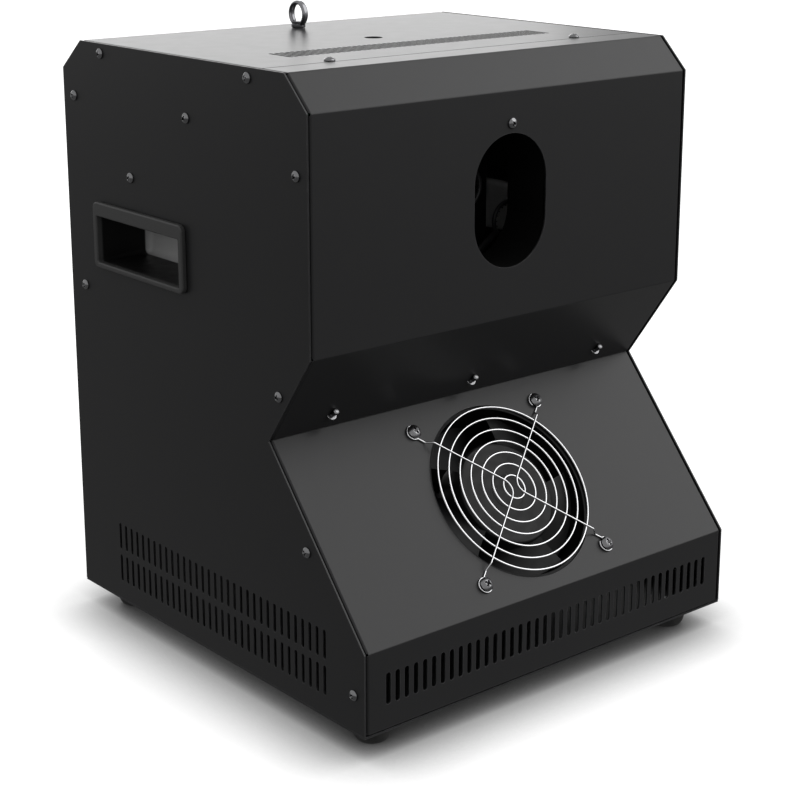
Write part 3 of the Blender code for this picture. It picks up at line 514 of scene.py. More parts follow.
class Recipe:
    """One procedural material, whose patterns are fixed to the piece and sized in metres."""

    def __init__(self, name, roughness, metallic=0.0, gloss=0.5):
        self.material = bpy.data.materials.new(name)
        self.material.use_nodes = True
        self.tree = self.material.node_tree
        self.shader = self.tree.nodes["Principled BSDF"]
        self.shader.inputs["Roughness"].default_value = roughness
        self.shader.inputs["Metallic"].default_value = metallic
        self.shader.inputs["Specular IOR Level"].default_value = gloss
        self.place = self.tree.nodes.new("ShaderNodeTexCoord").outputs["Object"]
        self.normal = None

    def link(self, output, socket):
        self.tree.links.new(output, socket)

    def stretched(self, stretch):
        mapping = self.tree.nodes.new("ShaderNodeMapping")
        mapping.inputs["Scale"].default_value = stretch
        self.link(self.place, mapping.inputs["Vector"])
        return mapping.outputs["Vector"]

    def noise(self, size, detail=2.0, stretch=(1, 1, 1)):
        """Noise from 0 to 1 whose blotches are about this wide."""
        made = self.tree.nodes.new("ShaderNodeTexNoise")
        made.inputs["Scale"].default_value = 1 / size
        made.inputs["Detail"].default_value = detail
        self.link(self.stretched(stretch), made.inputs["Vector"])
        return made.outputs["Fac"]

    def cells(self, size, feature="F1", stretch=(1, 1, 1)):
        made = self.tree.nodes.new("ShaderNodeTexVoronoi")
        made.feature = feature
        made.inputs["Scale"].default_value = 1 / size
        self.link(self.stretched(stretch), made.inputs["Vector"])
        return made

    def spread(self, source, start, end, low, high):
        """Value that runs from low to high as the source runs from start to end."""
        made = self.tree.nodes.new("ShaderNodeMapRange")
        for name, value in (("From Min", start), ("From Max", end), ("To Min", low), ("To Max", high)):
            made.inputs[name].default_value = value
        self.link(source, made.inputs["Value"])
        return made.outputs["Result"]

    def uneven(self, size, low, high, detail=3.0):
        """Value that drifts between low and high over patches about this wide."""
        return self.spread(self.noise(size, detail), 0.3, 0.7, low, high)

    def combine(self, operation, first, second):
        made = self.tree.nodes.new("ShaderNodeMath")
        made.operation = operation
        made.use_clamp = True
        for socket, value in zip(made.inputs, (first, second)):
            if isinstance(value, (int, float)):
                socket.default_value = value
            else:
                self.link(value, socket)
        return made.outputs["Value"]

    def mixed(self, share, first, second):
        """Colour between two colours, or colour outputs, by a share from 0 to 1."""
        made = self.tree.nodes.new("ShaderNodeMix")
        made.data_type = "RGBA"
        self.link(share, made.inputs["Factor"])
        for socket, value in ((made.inputs[6], first), (made.inputs[7], second)):
            if isinstance(value, tuple):
                socket.default_value = (*value, 1)
            else:
                self.link(value, socket)
        return made.outputs[2]

    def bump(self, height, depth):
        """Adds relief that is this deep in metres."""
        made = self.tree.nodes.new("ShaderNodeBump")
        made.inputs["Distance"].default_value = depth
        self.link(height, made.inputs["Height"])
        if self.normal is not None:
            self.link(self.normal, made.inputs["Normal"])
        self.normal = made.outputs["Normal"]

    def edges(self, reach):
        """1 along edges that stand out and 0 on flat faces."""
        soft = self.tree.nodes.new("ShaderNodeBevel")
        soft.samples = 3
        soft.inputs["Radius"].default_value = reach
        flat = self.tree.nodes.new("ShaderNodeNewGeometry")
        dot = self.tree.nodes.new("ShaderNodeVectorMath")
        dot.operation = "DOT_PRODUCT"
        self.link(soft.outputs["Normal"], dot.inputs[0])
        self.link(flat.outputs["Normal"], dot.inputs[1])
        return self.spread(dot.outputs["Value"], 0.97, 0.75, 0.0, 1.0)

    def sheltered(self, reach):
        """1 deep in a recess and 0 out in the open, used to paint shade into recesses."""
        shelter = self.tree.nodes.new("ShaderNodeAmbientOcclusion")
        shelter.samples = 4
        shelter.inputs["Distance"].default_value = reach
        return self.spread(shelter.outputs["AO"], 0.50, 0.78, 1.0, 0.0)

    def done(self, colour, roughness):
        self.link(colour, self.shader.inputs["Base Color"])
        self.link(roughness, self.shader.inputs["Roughness"])
        if self.normal is not None:
            self.link(self.normal, self.shader.inputs["Normal"])
        return self.material


def painted_steel():
    """Black satin powder coat: fine orange peel, faint handling marks, paint drawn thin along the edges."""
    made = Recipe("painted_steel", 0.34, gloss=0.24)
    peel = made.noise(0.0011, 2.0)
    grit = made.noise(0.00032, 1.0)
    cloud = made.noise(0.060, 3.0)
    marks = made.noise(0.012, 4.0)
    rim = made.combine("MULTIPLY", made.edges(0.0007), made.spread(made.noise(0.006), 0.3, 0.7, 0.45, 1.0))
    base = made.mixed(cloud, (0.0120, 0.0120, 0.0125), (0.0132, 0.0132, 0.0137))
    base = made.mixed(made.spread(grit, 0.35, 0.75, 0.0, 0.35), base, (0.020, 0.020, 0.0205))
    base = made.mixed(rim, base, (0.080, 0.080, 0.083))
    made.bump(peel, 0.000004)
    made.bump(grit, 0.000002)
    return made.done(base, made.spread(marks, 0.3, 0.7, 0.332, 0.348))


def moulded_plastic(name, dark, light, roughness, gloss=0.4, grain=0.0005, depth=0.000012):
    """Moulded plastic with a spark-eroded texture and slightly polished edges."""
    made = Recipe(name, roughness, gloss=gloss)
    texture = made.noise(grain, 2.0)
    flow = made.noise(0.030, 2.0)
    rim = made.edges(0.0006)
    base = made.mixed(flow, dark, light)
    base = made.mixed(made.spread(texture, 0.3, 0.8, 0.0, 0.4), base, tuple(c * 1.6 for c in light))
    polished = tuple(min(1.0, c * 2.2 + 0.01) for c in light)
    base = made.mixed(made.combine("MULTIPLY", rim, 0.5), base, polished)
    made.bump(texture, depth)
    return made.done(base, made.uneven(0.008, roughness - 0.06, roughness + 0.06))


def pocket_plastic():
    """Hand pocket plastic, with painted highlights on the frame's edges, painted shade on its walls and
    painted reflected light on its floor.
    """
    made = Recipe("pocket_plastic", 0.42, gloss=0.25)
    texture = made.noise(0.0005, 2.0)
    parts = made.tree.nodes.new("ShaderNodeSeparateXYZ")
    made.link(made.place, parts.inputs["Vector"])
    across = made.combine("ABSOLUTE", parts.outputs["X"], 0)
    floor = HALF_WIDTH - POCKET_DEPTH
    # 1 on the frame, which stays out of the painted shade that darkens the walls
    unshaded_frame = made.spread(across, HALF_WIDTH - 0.0010, HALF_WIDTH + 0.0004, 0.0, 1.0)
    # 1 on the pocket's floor, which is painted pale as reflected light
    painted_floor_light = made.spread(across, floor + 0.0040, floor + 0.0050, 1.0, 0.0)
    # Painted shade: the walls are near black, while the frame is a satin dark grey
    base = made.mixed(unshaded_frame, (0.003, 0.003, 0.003), (0.040, 0.040, 0.040))
    # Painted reflected light: the floor is pale grey
    base = made.mixed(painted_floor_light, base, (0.38, 0.38, 0.38))
    # Painted highlight along the frame's edges
    base = made.mixed(made.combine("MULTIPLY", made.edges(0.0005), unshaded_frame), base, (0.110, 0.110, 0.111))
    base = made.mixed(made.spread(texture, 0.3, 0.8, 0.0, 0.10), base, (0.020, 0.020, 0.020))
    made.bump(texture, 0.000012)
    return made.done(base, made.uneven(0.008, 0.36, 0.48))


def rubber():
    """Matt rubber with a dusty bloom."""
    made = Recipe("rubber", 0.8, gloss=0.3)
    bloom = made.noise(0.006, 4.0)
    base = made.mixed(made.spread(bloom, 0.4, 0.8, 0.0, 1.0), (0.012, 0.012, 0.012), (0.030, 0.030, 0.029))
    made.bump(made.noise(0.0007, 3.0), 0.00003)
    return made.done(base, made.spread(bloom, 0.3, 0.7, 0.70, 0.88))


def plated(name, dark, light, roughness, grain=0.004):
    """Bright plating with faint drawing marks and small changes of gloss."""
    made = Recipe(name, roughness, metallic=1.0)
    cloud = made.noise(grain, 3.0)
    fine = made.noise(0.0006, 2.0)
    base = made.mixed(cloud, dark, light)
    base = made.mixed(made.spread(fine, 0.55, 0.8, 0.0, 0.25), base, tuple(c * 0.55 for c in dark))
    made.bump(fine, 0.000006)
    return made.done(base, made.spread(cloud, 0.3, 0.7, roughness * 0.7, roughness * 1.4))


def black_nickel():
    """Dark plating of the screws, with painted highlights along their edges and painted shade deep in their
    cross recesses.
    """
    made = Recipe("black_nickel", 0.2, metallic=1.0)
    cloud = made.noise(0.004, 3.0)
    fine = made.noise(0.0006, 2.0)
    base = made.mixed(cloud, (0.15, 0.15, 0.154), (0.21, 0.21, 0.215))
    base = made.mixed(made.spread(fine, 0.55, 0.8, 0.0, 0.25), base, (0.050, 0.050, 0.052))
    # Painted highlight: the edges of the head's rim and of the cross recess are lightened
    base = made.mixed(made.edges(0.0005), base, (0.58, 0.58, 0.59))
    # Painted shade: the cross recess is darkened where it is closed in
    base = made.mixed(made.sheltered(0.0014), base, (0.008, 0.008, 0.008))
    made.bump(fine, 0.000006)
    return made.done(base, made.spread(cloud, 0.3, 0.7, 0.14, 0.26))


def zinc():
    """Galvanised steel with spangle."""
    made = Recipe("zinc", 0.38, metallic=1.0)
    flakes = made.cells(0.006)
    grain = made.noise(0.0012, 3.0)
    tone = made.tree.nodes.new("ShaderNodeSeparateColor")
    made.link(flakes.outputs["Color"], tone.inputs["Color"])
    base = made.mixed(tone.outputs["Red"], (0.42, 0.43, 0.45), (0.60, 0.61, 0.63))
    base = made.mixed(made.spread(grain, 0.6, 0.9, 0.0, 0.4), base, (0.30, 0.30, 0.31))
    made.bump(grain, 0.00001)
    return made.done(base, made.spread(tone.outputs["Green"], 0.0, 1.0, 0.28, 0.46))


def cast_metal():
    """Die-cast aluminium painted thinly in black, with a grainy skin."""
    made = Recipe("cast_metal", 0.5, gloss=0.12)
    skin = made.noise(0.0009, 3.0)
    pits = made.noise(0.004, 4.0)
    rim = made.edges(0.0005)
    base = made.mixed(pits, (0.0025, 0.0025, 0.0027), (0.0045, 0.0045, 0.0047))
    base = made.mixed(made.combine("MULTIPLY", rim, 0.5), base, (0.045, 0.045, 0.047))
    made.bump(skin, 0.00003)
    return made.done(base, made.spread(pits, 0.3, 0.7, 0.42, 0.58))


def clear_hose():
    """Milky soft tube that light gets into."""
    made = Recipe("clear_hose", 0.25)
    flow = made.noise(0.025, 3.0)
    base = made.mixed(made.spread(flow, 0.3, 0.7, 0.0, 1.0), (0.66, 0.69, 0.70), (0.55, 0.58, 0.60))
    made.shader.inputs["Subsurface Weight"].default_value = 0.25
    made.shader.inputs["Subsurface Radius"].default_value = (0.004, 0.004, 0.004)
    made.bump(made.noise(0.0008, 2.0), 0.00001)
    return made.done(base, made.uneven(0.010, 0.18, 0.32))


def circuit_board():
    """Green solder mask over copper tracks, with tinned pads."""
    made = Recipe("circuit_board", 0.35, gloss=0.5)
    tracks = made.cells(0.006, "DISTANCE_TO_EDGE").outputs["Distance"]
    pads = made.cells(0.0035).outputs["Distance"]
    base = made.mixed(made.spread(tracks, 0.06, 0.10, 1.0, 0.0), (0.010, 0.090, 0.035), (0.030, 0.170, 0.070))
    base = made.mixed(made.spread(pads, 0.10, 0.14, 1.0, 0.0), base, (0.55, 0.55, 0.50))
    made.bump(made.spread(tracks, 0.06, 0.10, 1.0, 0.0), 0.00003)
    return made.done(base, made.uneven(0.010, 0.28, 0.45, 2.0))


def window():
    """Smoked acrylic with faint wiping marks."""
    made = Recipe("window", 0.08, gloss=0.6)
    wipe = made.noise(0.006, 4.0, (1, 1, 0.2))
    base = made.mixed(made.noise(0.020), (0.006, 0.007, 0.010), (0.012, 0.013, 0.018))
    made.bump(made.noise(0.008, 2.0), 0.000004)
    return made.done(base, made.spread(wipe, 0.4, 0.8, 0.05, 0.18))


FINISH = {
    "painted_steel": painted_steel(),
    "black_plastic": moulded_plastic("black_plastic", (0.010, 0.010, 0.010), (0.016, 0.016, 0.016), 0.42),
    "pocket_plastic": pocket_plastic(),
    "rubber": rubber(),
    "chrome": plated("chrome", (0.56, 0.56, 0.57), (0.68, 0.68, 0.69), 0.16),
    "dark_chrome": plated("dark_chrome", (0.16, 0.16, 0.17), (0.26, 0.26, 0.27), 0.20),
    "black_nickel": black_nickel(),
    "pin_metal": plated("pin_metal", (0.60, 0.58, 0.50), (0.72, 0.70, 0.60), 0.28),
    "zinc": zinc(),
    "cast_metal": cast_metal(),
    "clear_hose": clear_hose(),
    "circuit_board": circuit_board(),
    "window": window(),
    "red_plastic": moulded_plastic("red_plastic", (0.42, 0.012, 0.010), (0.52, 0.020, 0.016), 0.33, 0.5),
}
for kind, dark, light, roughness, gloss, grain in (
    ("fan_plastic", (0.0045, 0.0045, 0.0047), (0.0065, 0.0065, 0.0067), 0.40, 0.16, 0.0005),
    ("wheel_plastic", (0.012, 0.012, 0.013), (0.018, 0.018, 0.019), 0.34, 0.2, 0.0005),
    ("duct_plastic", (0.002, 0.002, 0.002), (0.003, 0.003, 0.003), 0.7, 0.03, 0.0005),
    ("tank_plastic", (0.010, 0.010, 0.010), (0.015, 0.015, 0.015), 0.45, 0.3, 0.0012),
):
    FINISH[kind] = moulded_plastic(kind, dark, light, roughness, gloss, grain)


# Pieces


def piece(name, mesh, slot, place=HERE, body="case", stands_for=(), finish=None, crisp=32):
    """Adds a mesh as a piece of the object, with smooth shading that breaks at crisp edges."""
    mesh.transform(CASE @ place)
    mesh.name = name
    mesh.materials.clear()
    mesh.materials.append(FINISH[finish or slot])
    mesh.shade_smooth()
    mesh.set_sharp_from_angle(angle=math.radians(crisp))
    made = bpy.data.objects.new(name, mesh)
    bpy.context.scene.collection.objects.link(made)
    even = made.modifiers.new("even_shading", "WEIGHTED_NORMAL")
    even.keep_sharp = True
    even.weight = 80
    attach(made, body)
    if stands_for:
        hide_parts(*stands_for)
    return made


def front_upper_cover():
    """Front of the top, chamfer, upright face with the outlet, and under-slope."""
    end = (WAIST[0] - 0.0006, WAIST[1] + 0.0009)
    fold = Fold([(SEAM_Y - 0.0006, CASE_TOP), TOP_FRONT, FACE_TOP, FACE_BOTTOM, end])
    outlet = stadium(OUTLET_HALF_WIDTH, OUTLET_HALF_HEIGHT, (0, fold.on_run(2, FACE_TOP[1] - OUTLET_Z)), 32)
    screw_hole = circle(0.0022, (0, fold.on_run(2, FACE_TOP[1] - OUTLET_SCREW_Z)), 20)
    piece(
        "front_upper_cover_skin",
        folded(fold, [outlet, screw_hole]),
        "painted_steel",
        stands_for=["front_upper_cover"],
    )
    drop = SHEET + 2 * GAP
    flange = sheet([rounded(COVER_HALF - 3 * SHEET, 0.0077, 0.002)], SHEET)
    piece("seam_flange", flange, "painted_steel", at(0, SEAM_Y + 0.0064, CASE_TOP - drop - SHEET / 2))


def front_lower_cover():
    """Sloping fan panel and vented lower face."""
    waist = Vector(WAIST)
    up_slope = (waist - Vector(KNEE)).normalized()
    under = (Vector(FACE_BOTTOM) - waist).normalized()
    behind = Vector((under.y, -under.x))
    lead = (SHEET + GAP) / up_slope.dot(behind)
    start = waist + up_slope * lead
    fold = Fold([tuple(start), KNEE, (TOE[0], -0.0002)])
    centre = fold.on_run(0, FAN_DOWN_SLOPE + lead)
    holes = [circle(FAN_HOLE_RADIUS, (0, centre), 96)]
    holes += [circle(0.0023, place, 16) for place in square_corners(FAN_SCREW_HALF, (0, centre))]
    holes += slots(40, 0.00703, 0.00175, 0.010, (0, fold.on_run(1, KNEE[1] - 0.0249)))
    piece("front_lower_cover_skin", folded(fold, holes), "painted_steel", stands_for=["front_lower_cover"])
    length = 0.020
    middle = start + behind * SHEET / 2 + under * (length / 2 - 0.0008)
    tilt = Matrix.Rotation(math.atan2(under.y, under.x), 4, "X")
    flange = sheet([rounded(COVER_HALF - 3 * SHEET, length / 2, 0.002)], SHEET)
    piece("waist_flange", flange, "painted_steel", at(0, *middle) @ tilt)


def top_cover():
    """Rear chamfer and the top with its vents, rigging hole and eye bolt hole."""
    fold = Fold([(-0.0001, REAR_TOP[1] + 0.0002), TOP_REAR, (SEAM_Y + 0.0004, CASE_TOP)])
    holes = [
        circle(RIGGING_HOLE_RADIUS, (0, fold.on_run(1, TOP_REAR[0] - RIGGING_HOLE_Y)), 40),
        circle(0.0033, (0, fold.on_run(1, TOP_REAR[0] - EYE_Y)), 20),
        *slots(54, 0.0040, 0.00125, 0.0115, (0, fold.on_run(1, TOP_REAR[0] - VENT_Y))),
    ]
    piece("top_cover_skin", folded(fold, holes), "painted_steel", stands_for=["top_cover"])


def side_panel(side):
    """Flat side with two rows of vents and the window for the hand pocket."""
    name = "left_side_panel" if side < 0 else "right_side_panel"
    corners = [REAR_FOOT, REAR_TOP, TOP_REAR, TOP_FRONT, FACE_TOP, FACE_BOTTOM, WAIST, KNEE, TOE]
    clearance = POCKET_WALL + GAP
    half_x, half_y = POCKET_WIDTH / 2 + clearance, POCKET_HEIGHT / 2 + clearance
    outlines = [corners, rounded(half_x, half_y, 0.004, (HANDLE_Y, HANDLE_Z - POCKET_DROP))]
    outlines += slots(33, 0.00704, 0.0014, 0.0095, (-0.1611, 0.0215))
    outlines += slots(33, 0.00704, 0.0014, 0.00925, (-0.1611, 0.04455))
    outlines = [[(side * y, z) for y, z in outline] for outline in outlines]
    place = at(side * (HALF_WIDTH - SHEET / 2)) @ facing_side(side)
    piece(f"{name}_skin", sheet(outlines, SHEET, 0.00022, 2), "painted_steel", place, stands_for=[name])


def button_x(i):
    return DISPLAY_X + BUTTON_PITCH * (i - 1.5)


def back_panel():
    """Flat rear panel with windows for the filler caps and cut-outs for the fittings."""
    low, high = -0.0002, REAR_TOP[1] - 0.0014
    outlines = [rectangle(COVER_HALF, (high - low) / 2, (0, (high + low) / 2))]
    for side in (-1, 1):
        outlines.append(rounded(0.032, 0.042, 0.006, (side * TANK_X, 0.092)))
    outlines.append(rounded(0.0243, 0.0103, 0.0010, (DISPLAY_X, DISPLAY_Z), 3))
    for i in range(4):
        outlines.append(circle(BUTTON_RADIUS + GAP, (button_x(i), BUTTON_Z), 24))
    outlines.append(rounded(0.0138, 0.0188, 0.0010, (INLET_X, INLET_Z), 3))
    outlines.append(rounded(0.0098, 0.0143, 0.0010, (SWITCH_X, INLET_Z), 3))
    for row in range(2):
        outlines += slots(14, 0.0100, 0.0022, 0.011, (-0.060, 0.285 + 0.032 * row))
    place = at(0, -SHEET / 2) @ FACING_FRONT
    skin = sheet(outlines, SHEET, 0.0002, 2)
    piece("back_panel_skin", skin, "painted_steel", place, stands_for=["back_panel"])


def handle(side):
    """Hand pocket: a raised frame with soft edges and a cup with a round-edged floor."""
    name = "left_handle" if side < 0 else "right_handle"
    drop = (0, -POCKET_DROP)
    rings = []

    def ring(half_x, half_y, radius, z, centre=(0, 0)):
        rings.append(flat_ring(rounded(half_x, half_y, radius, centre, 8), z))

    outer_x, outer_y = HANDLE_WIDTH / 2, HANDLE_HEIGHT / 2
    inner_x, inner_y = POCKET_WIDTH / 2, POCKET_HEIGHT / 2
    soft = 0.0012
    lip = 0.0011
    floor_round = 0.0050
    floor_z = -POCKET_DEPTH
    ring(outer_x - 0.0004, outer_y - 0.0004, 0.0041, 0.0)
    ring(outer_x, outer_y, 0.0045, 0.0004)
    for i in range(6):
        a = math.pi / 2 * i / 5
        inset = soft * (1 - math.cos(a))
        ring(outer_x - inset, outer_y - inset, 0.0045 - inset, BEZEL - soft + soft * math.sin(a))
    for i in range(6):
        a = math.pi / 2 * i / 5
        spread = lip * (1 - math.sin(a))
        ring(inner_x + spread, inner_y + spread, 0.0012 + spread, BEZEL - lip + lip * math.cos(a), drop)
    draft = 0.0007
    ring(inner_x - draft, inner_y - draft, 0.0040, floor_z + floor_round, drop)
    for i in range(1, 7):
        a = math.pi / 2 * i / 6
        inset = draft + floor_round * (1 - math.cos(a))
        corner = max(0.0040 - inset * 0.75, 0.0012)
        ring(inner_x - inset, inner_y - inset, corner, floor_z + floor_round * (1 - math.sin(a)), drop)
    front = loft(rings)
    rings.clear()
    shell_x, shell_y = inner_x + POCKET_WALL, inner_y + POCKET_WALL
    ring(shell_x, shell_y, 0.0035, 0.0002, drop)
    ring(shell_x, shell_y, 0.0055, floor_z - POCKET_WALL + 0.003, drop)
    for i in range(1, 5):
        a = math.pi / 2 * i / 4
        inset = 0.003 * (1 - math.cos(a))
        z = floor_z - POCKET_WALL + 0.003 * (1 - math.sin(a))
        ring(shell_x - inset, shell_y - inset, 0.0055 - inset, z, drop)
    back = loft(rings)
    mesh = joined((uncapped(front), HERE), (uncapped(back), HERE))
    place = at(side * (HALF_WIDTH + GAP), HANDLE_Y, HANDLE_Z) @ facing_side(side)
    piece(f"{name}_moulding", mesh, "black_plastic", place, "case", [name], "pocket_plastic", crisp=50)


def foot(name, x, y):
    """Tapered rubber foot with a screw in its recess."""
    top = BASE_BOTTOM - GAP
    profile = [(0.0022, top), (0.0022, -0.0100), (0.0050, -0.0100), (0.0050, 0.0006 - FOOT_HEIGHT)]
    profile += [(0.0056, -FOOT_HEIGHT), (0.0084, -FOOT_HEIGHT), (0.0098, 0.0007 - FOOT_HEIGHT)]
    profile += [(0.0110, -0.0156), (0.0116, -0.0140), (0.0130, -0.0062), (0.0135, top - 0.0010)]
    profile += [(0.0131, top)]
    piece(f"{name}_rubber", turned(profile), "rubber", at(x, y), stands_for=[name])
    stem = sleeve(0.0, 0.0018, -0.0003, -0.0102, 16)
    fixing = joined((SCREW_HEAD, turn(180, "X") @ at(0, 0, 0.0104)), (stem, HERE))
    piece(f"{name}_screw", fixing, "zinc", at(x, y))


def eye_bolt():
    """Lifting eye with a grooved rim on a round collar, and its shank through the top cover."""
    ring = []
    for angle in range(0, 360, 15):
        a = math.radians(angle)
        groove = 0.00035 * math.exp(-((angle - 360 * (angle > 180)) / 16) ** 2)
        ring.append((EYE_RADIUS + (0.00155 - groove) * math.cos(a), 0.0023 * math.sin(a)))
    eye = turned(ring, 72)
    collar = [(0.0, 0.0047), (0.0038, 0.0047), (0.0044, 0.0043), (0.0044, 0.0036), (0.0041, 0.0033)]
    collar += [(0.0041, 0.0029), (0.0048, 0.0026), (0.0048, 0.0007), (0.0044, 0.0003), (0.0029, 0.0003)]
    collar += [(0.0029, -0.0086), (0.0, -0.0086)]
    mesh = joined((eye, at(0, 0, EYE_HEIGHT) @ turn(90, "Y")), (turned(collar), HERE))
    place = at(0, EYE_Y, CASE_TOP)
    piece("eye_bolt_ring", mesh, "dark_chrome", place, stands_for=["eye_bolt"], crisp=50)
    nut = carved(sheet([circle(0.0075, sides=6)], 0.0065, 0.0005, 2), sleeve(0.0, 0.0032, 0.01, -0.01, 24))
    below = at(0, EYE_Y, CASE_TOP - SHEET - GAP - 0.00325)
    piece("eye_bolt_hex_nut", nut, "zinc", below, stands_for=["eye_bolt_nut"])


# Screws


def phillips_head(radius, height):
    """Domed head with a tapered cross recess, its underside at z = 0."""
    drop = 0.62 * height
    dome = (radius**2 + drop**2) / (2 * drop)
    tilt = math.asin(radius * 0.94 / dome)
    profile = []
    for i in range(9):
        a = tilt * i / 8
        profile.append((dome * math.sin(a), height - dome * (1 - math.cos(a))))
    low = profile[-1][1]
    profile += [(radius, low - 0.0003), (radius, 0.0002), (radius - 0.0002, 0.0), (0.0, 0.0)]
    head = turned(profile, 40)
    narrow = rectangle(0.14 * radius, 0.10 * radius)
    wide = rectangle(0.64 * radius, 0.20 * radius)
    arm = loft([flat_ring(narrow, height - 0.50 * radius), flat_ring(wide, height + 0.0002)])
    for spin in (0, 90):
        head = carved(head, arm.copy(), turn(spin, "Z"))
    return head


SCREW_HEAD = phillips_head(0.0034, 0.0024)
GUARD_SCREW_HEAD = phillips_head(0.0045, 0.0031)


def screw(name, place, spin, head=SCREW_HEAD, shank=0.006, stands_for=()):
    """Screw standing along the place's Z, turned to where it happened to be tightened."""
    stem = [(0.0, 0.0002), (0.0019, 0.0002), (0.0019, 0.0004 - shank), (0.0013, -shank), (0.0, -shank)]
    mesh = joined((head, turn(spin, "Z")), (turned(stem, 20), HERE))
    piece(name, mesh, "dark_chrome", place, stands_for=stands_for, finish="black_nickel", crisp=38)


def panel_screws():
    for side in (-1, 1):
        name = "left" if side < 0 else "right"
        for i, (y, z) in enumerate(SIDE_SCREWS):
            place = at(side * HALF_WIDTH, y, z) @ facing_side(side)
            screw(f"{name}_screw_{i + 1}", place, 37 * i + 12 * side)
    for side in (-1, 1):
        screw(f"top_screw_{(side + 3) // 2}", at(side * 0.1005, -0.2140, CASE_TOP), 25 * side)
    under = Vector(FACE_BOTTOM) - Vector(WAIST)
    spot = Vector(WAIST) + under.normalized() * 0.0126
    for i in range(3):
        tilt = math.degrees(math.atan2(under.x, -under.y))
        place = at(0.113 * (i - 1), *spot) @ turn(90 - tilt, "X")
        screw(f"under_slope_screw_{i + 1}", place, 50 * i + 8)
    screw("duct_screw_head", at(0, FACE_TOP[0], OUTLET_SCREW_Z) @ FACING_FRONT, 40, stands_for=["duct_screw"])


# Fans


def fan_blade(hub, tip, depth, sweep, phase):
    """Thick pitched blade: its front edge is straight and near the front, its rear edge is deep."""
    across, along = 9, 7
    shape = bmesh.new()
    layers = []
    for layer in (0, 1):
        rows = []
        for i in range(along + 1):
            u = i / along
            radius = hub + (tip - hub) * u
            row = []
            for j in range(across + 1):
                v = j / across
                a = phase - math.radians(sweep) * v * (0.92 + 0.08 * u) + math.radians(5) * u * (1 - v)
                thickness = 0.0016 * math.sin(math.pi * min(0.97, max(0.06, v))) ** 0.5
                lift = math.sin(math.pi * v) * 0.0022
                z = -0.0015 - (depth - 0.003) * v * (1.0 - 0.22 * u) - 0.003 * u + lift
                z += thickness / 2 if layer == 0 else -thickness / 2
                row.append(shape.verts.new((radius * math.cos(a), radius * math.sin(a), z)))
            rows.append(row)
        layers.append(rows)
    front, back = layers
    for i in range(along):
        for j in range(across):
            shape.faces.new((front[i][j], front[i + 1][j], front[i + 1][j + 1], front[i][j + 1]))
            shape.faces.new((back[i][j], back[i][j + 1], back[i + 1][j + 1], back[i + 1][j]))
    for j in range(across):
        for i in (0, along):
            shape.faces.new((front[i][j], front[i][j + 1], back[i][j + 1], back[i][j]))
    for i in range(along):
        for j in (0, across):
            shape.faces.new((front[i][j], back[i][j], back[i + 1][j], front[i + 1][j]))
    return mesh_of(shape)


def fan_rotor(name, body, place, depth, bore, hub, blades, sweep, phase):
    """Impeller: a domed hub with a shallow ring groove, and swept blades."""
    hub_profile = [(0.0, 0.0), (hub * 0.30, 0.0), (hub * 0.33, -0.0004), (hub * 0.36, 0.0)]
    hub_profile.append((hub * 0.90, -0.0002))
    hub_profile += fillet((hub - 0.0022, -0.0024), 0.0022, 80, 0, 5)
    hub_profile += [(hub, -depth), (0.0, -depth)]
    parts = [(turned(hub_profile, 64), HERE)]
    for i in range(blades):
        blade = fan_blade(hub - 0.002, bore - 0.0020, depth, sweep, phase + 2 * math.pi * i / blades)
        parts.append((blade, HERE))
    mesh = joined(*parts)
    piece(f"{name}_impeller", mesh, "black_plastic", place, body, [name], "fan_plastic", crisp=40)


def fan_frame(name, place, size, depth, bore, hub, screw_half):
    """Square frame with a round bore, waisted between its flanges, and a motor hub on struts at its back."""
    half = size / 2
    corners = square_corners(screw_half)
    holes = [circle(bore, sides=72), *(circle(0.0023, corner, 16) for corner in corners)]
    flange = 0.0040
    plate = sheet([rounded(half, half, 0.004), *holes], flange, 0.0004, 2)
    barrel = sleeve(bore, bore + 0.0018, -0.0005, 0.0005 - depth, 72)
    motor = [(0.0, -0.0010), (hub, -0.0010), (hub, -0.0060), (hub - 0.0015, -0.0070), (0.0, -0.0070)]
    back = 0.0070 - depth
    parts = [
        (plate, at(0, 0, -flange / 2)),
        (plate, at(0, 0, flange / 2 - depth)),
        (barrel, HERE),
        (turned(motor, 64), at(0, 0, back)),
    ]
    for i in range(4):
        reach = (bore + hub) / 2
        strut = soft_block((bore - hub + 0.003, 0.0050, 0.0030), 0.0007)
        parts.append((strut, turn(45 + 90 * i, "Z") @ at(reach, 0, back - 0.0045)))
    parts += [(sleeve(0.0024, 0.0045, -0.002, 0.002 - depth, 24), at(*corner)) for corner in corners]
    piece(f"{name}_casting", joined(*parts), "cast_metal", place, stands_for=[name], crisp=40)


def lower_fan():
    place = on_slope(FAN_DOWN_SLOPE, -SHEET - GAP)
    fan_frame("lower_fan_frame", place, FAN_SIZE, FAN_DEPTH, FAN_BORE, FAN_HUB - 0.003, FAN_SCREW_HALF)
    front = place @ at(0, 0, -0.0025)
    fan_rotor("lower_fan_rotor", "lower_fan_rotor", front, 0.026, FAN_BORE, FAN_HUB, 5, 62, math.radians(70))


def outlet_fan():
    place = at(0, PLATE_Y + GAP + SHEET, OUTLET_Z) @ FACING_FRONT
    fan_frame("outlet_fan_frame", place, 0.080, 0.025, 0.0375, 0.018, 0.03575)
    front = place @ at(0, 0, -0.0020)
    fan_rotor("outlet_fan_rotor", "outlet_fan_rotor", front, 0.0155, 0.0375, 0.019, 7, 44, 0.0)


# Wire guard


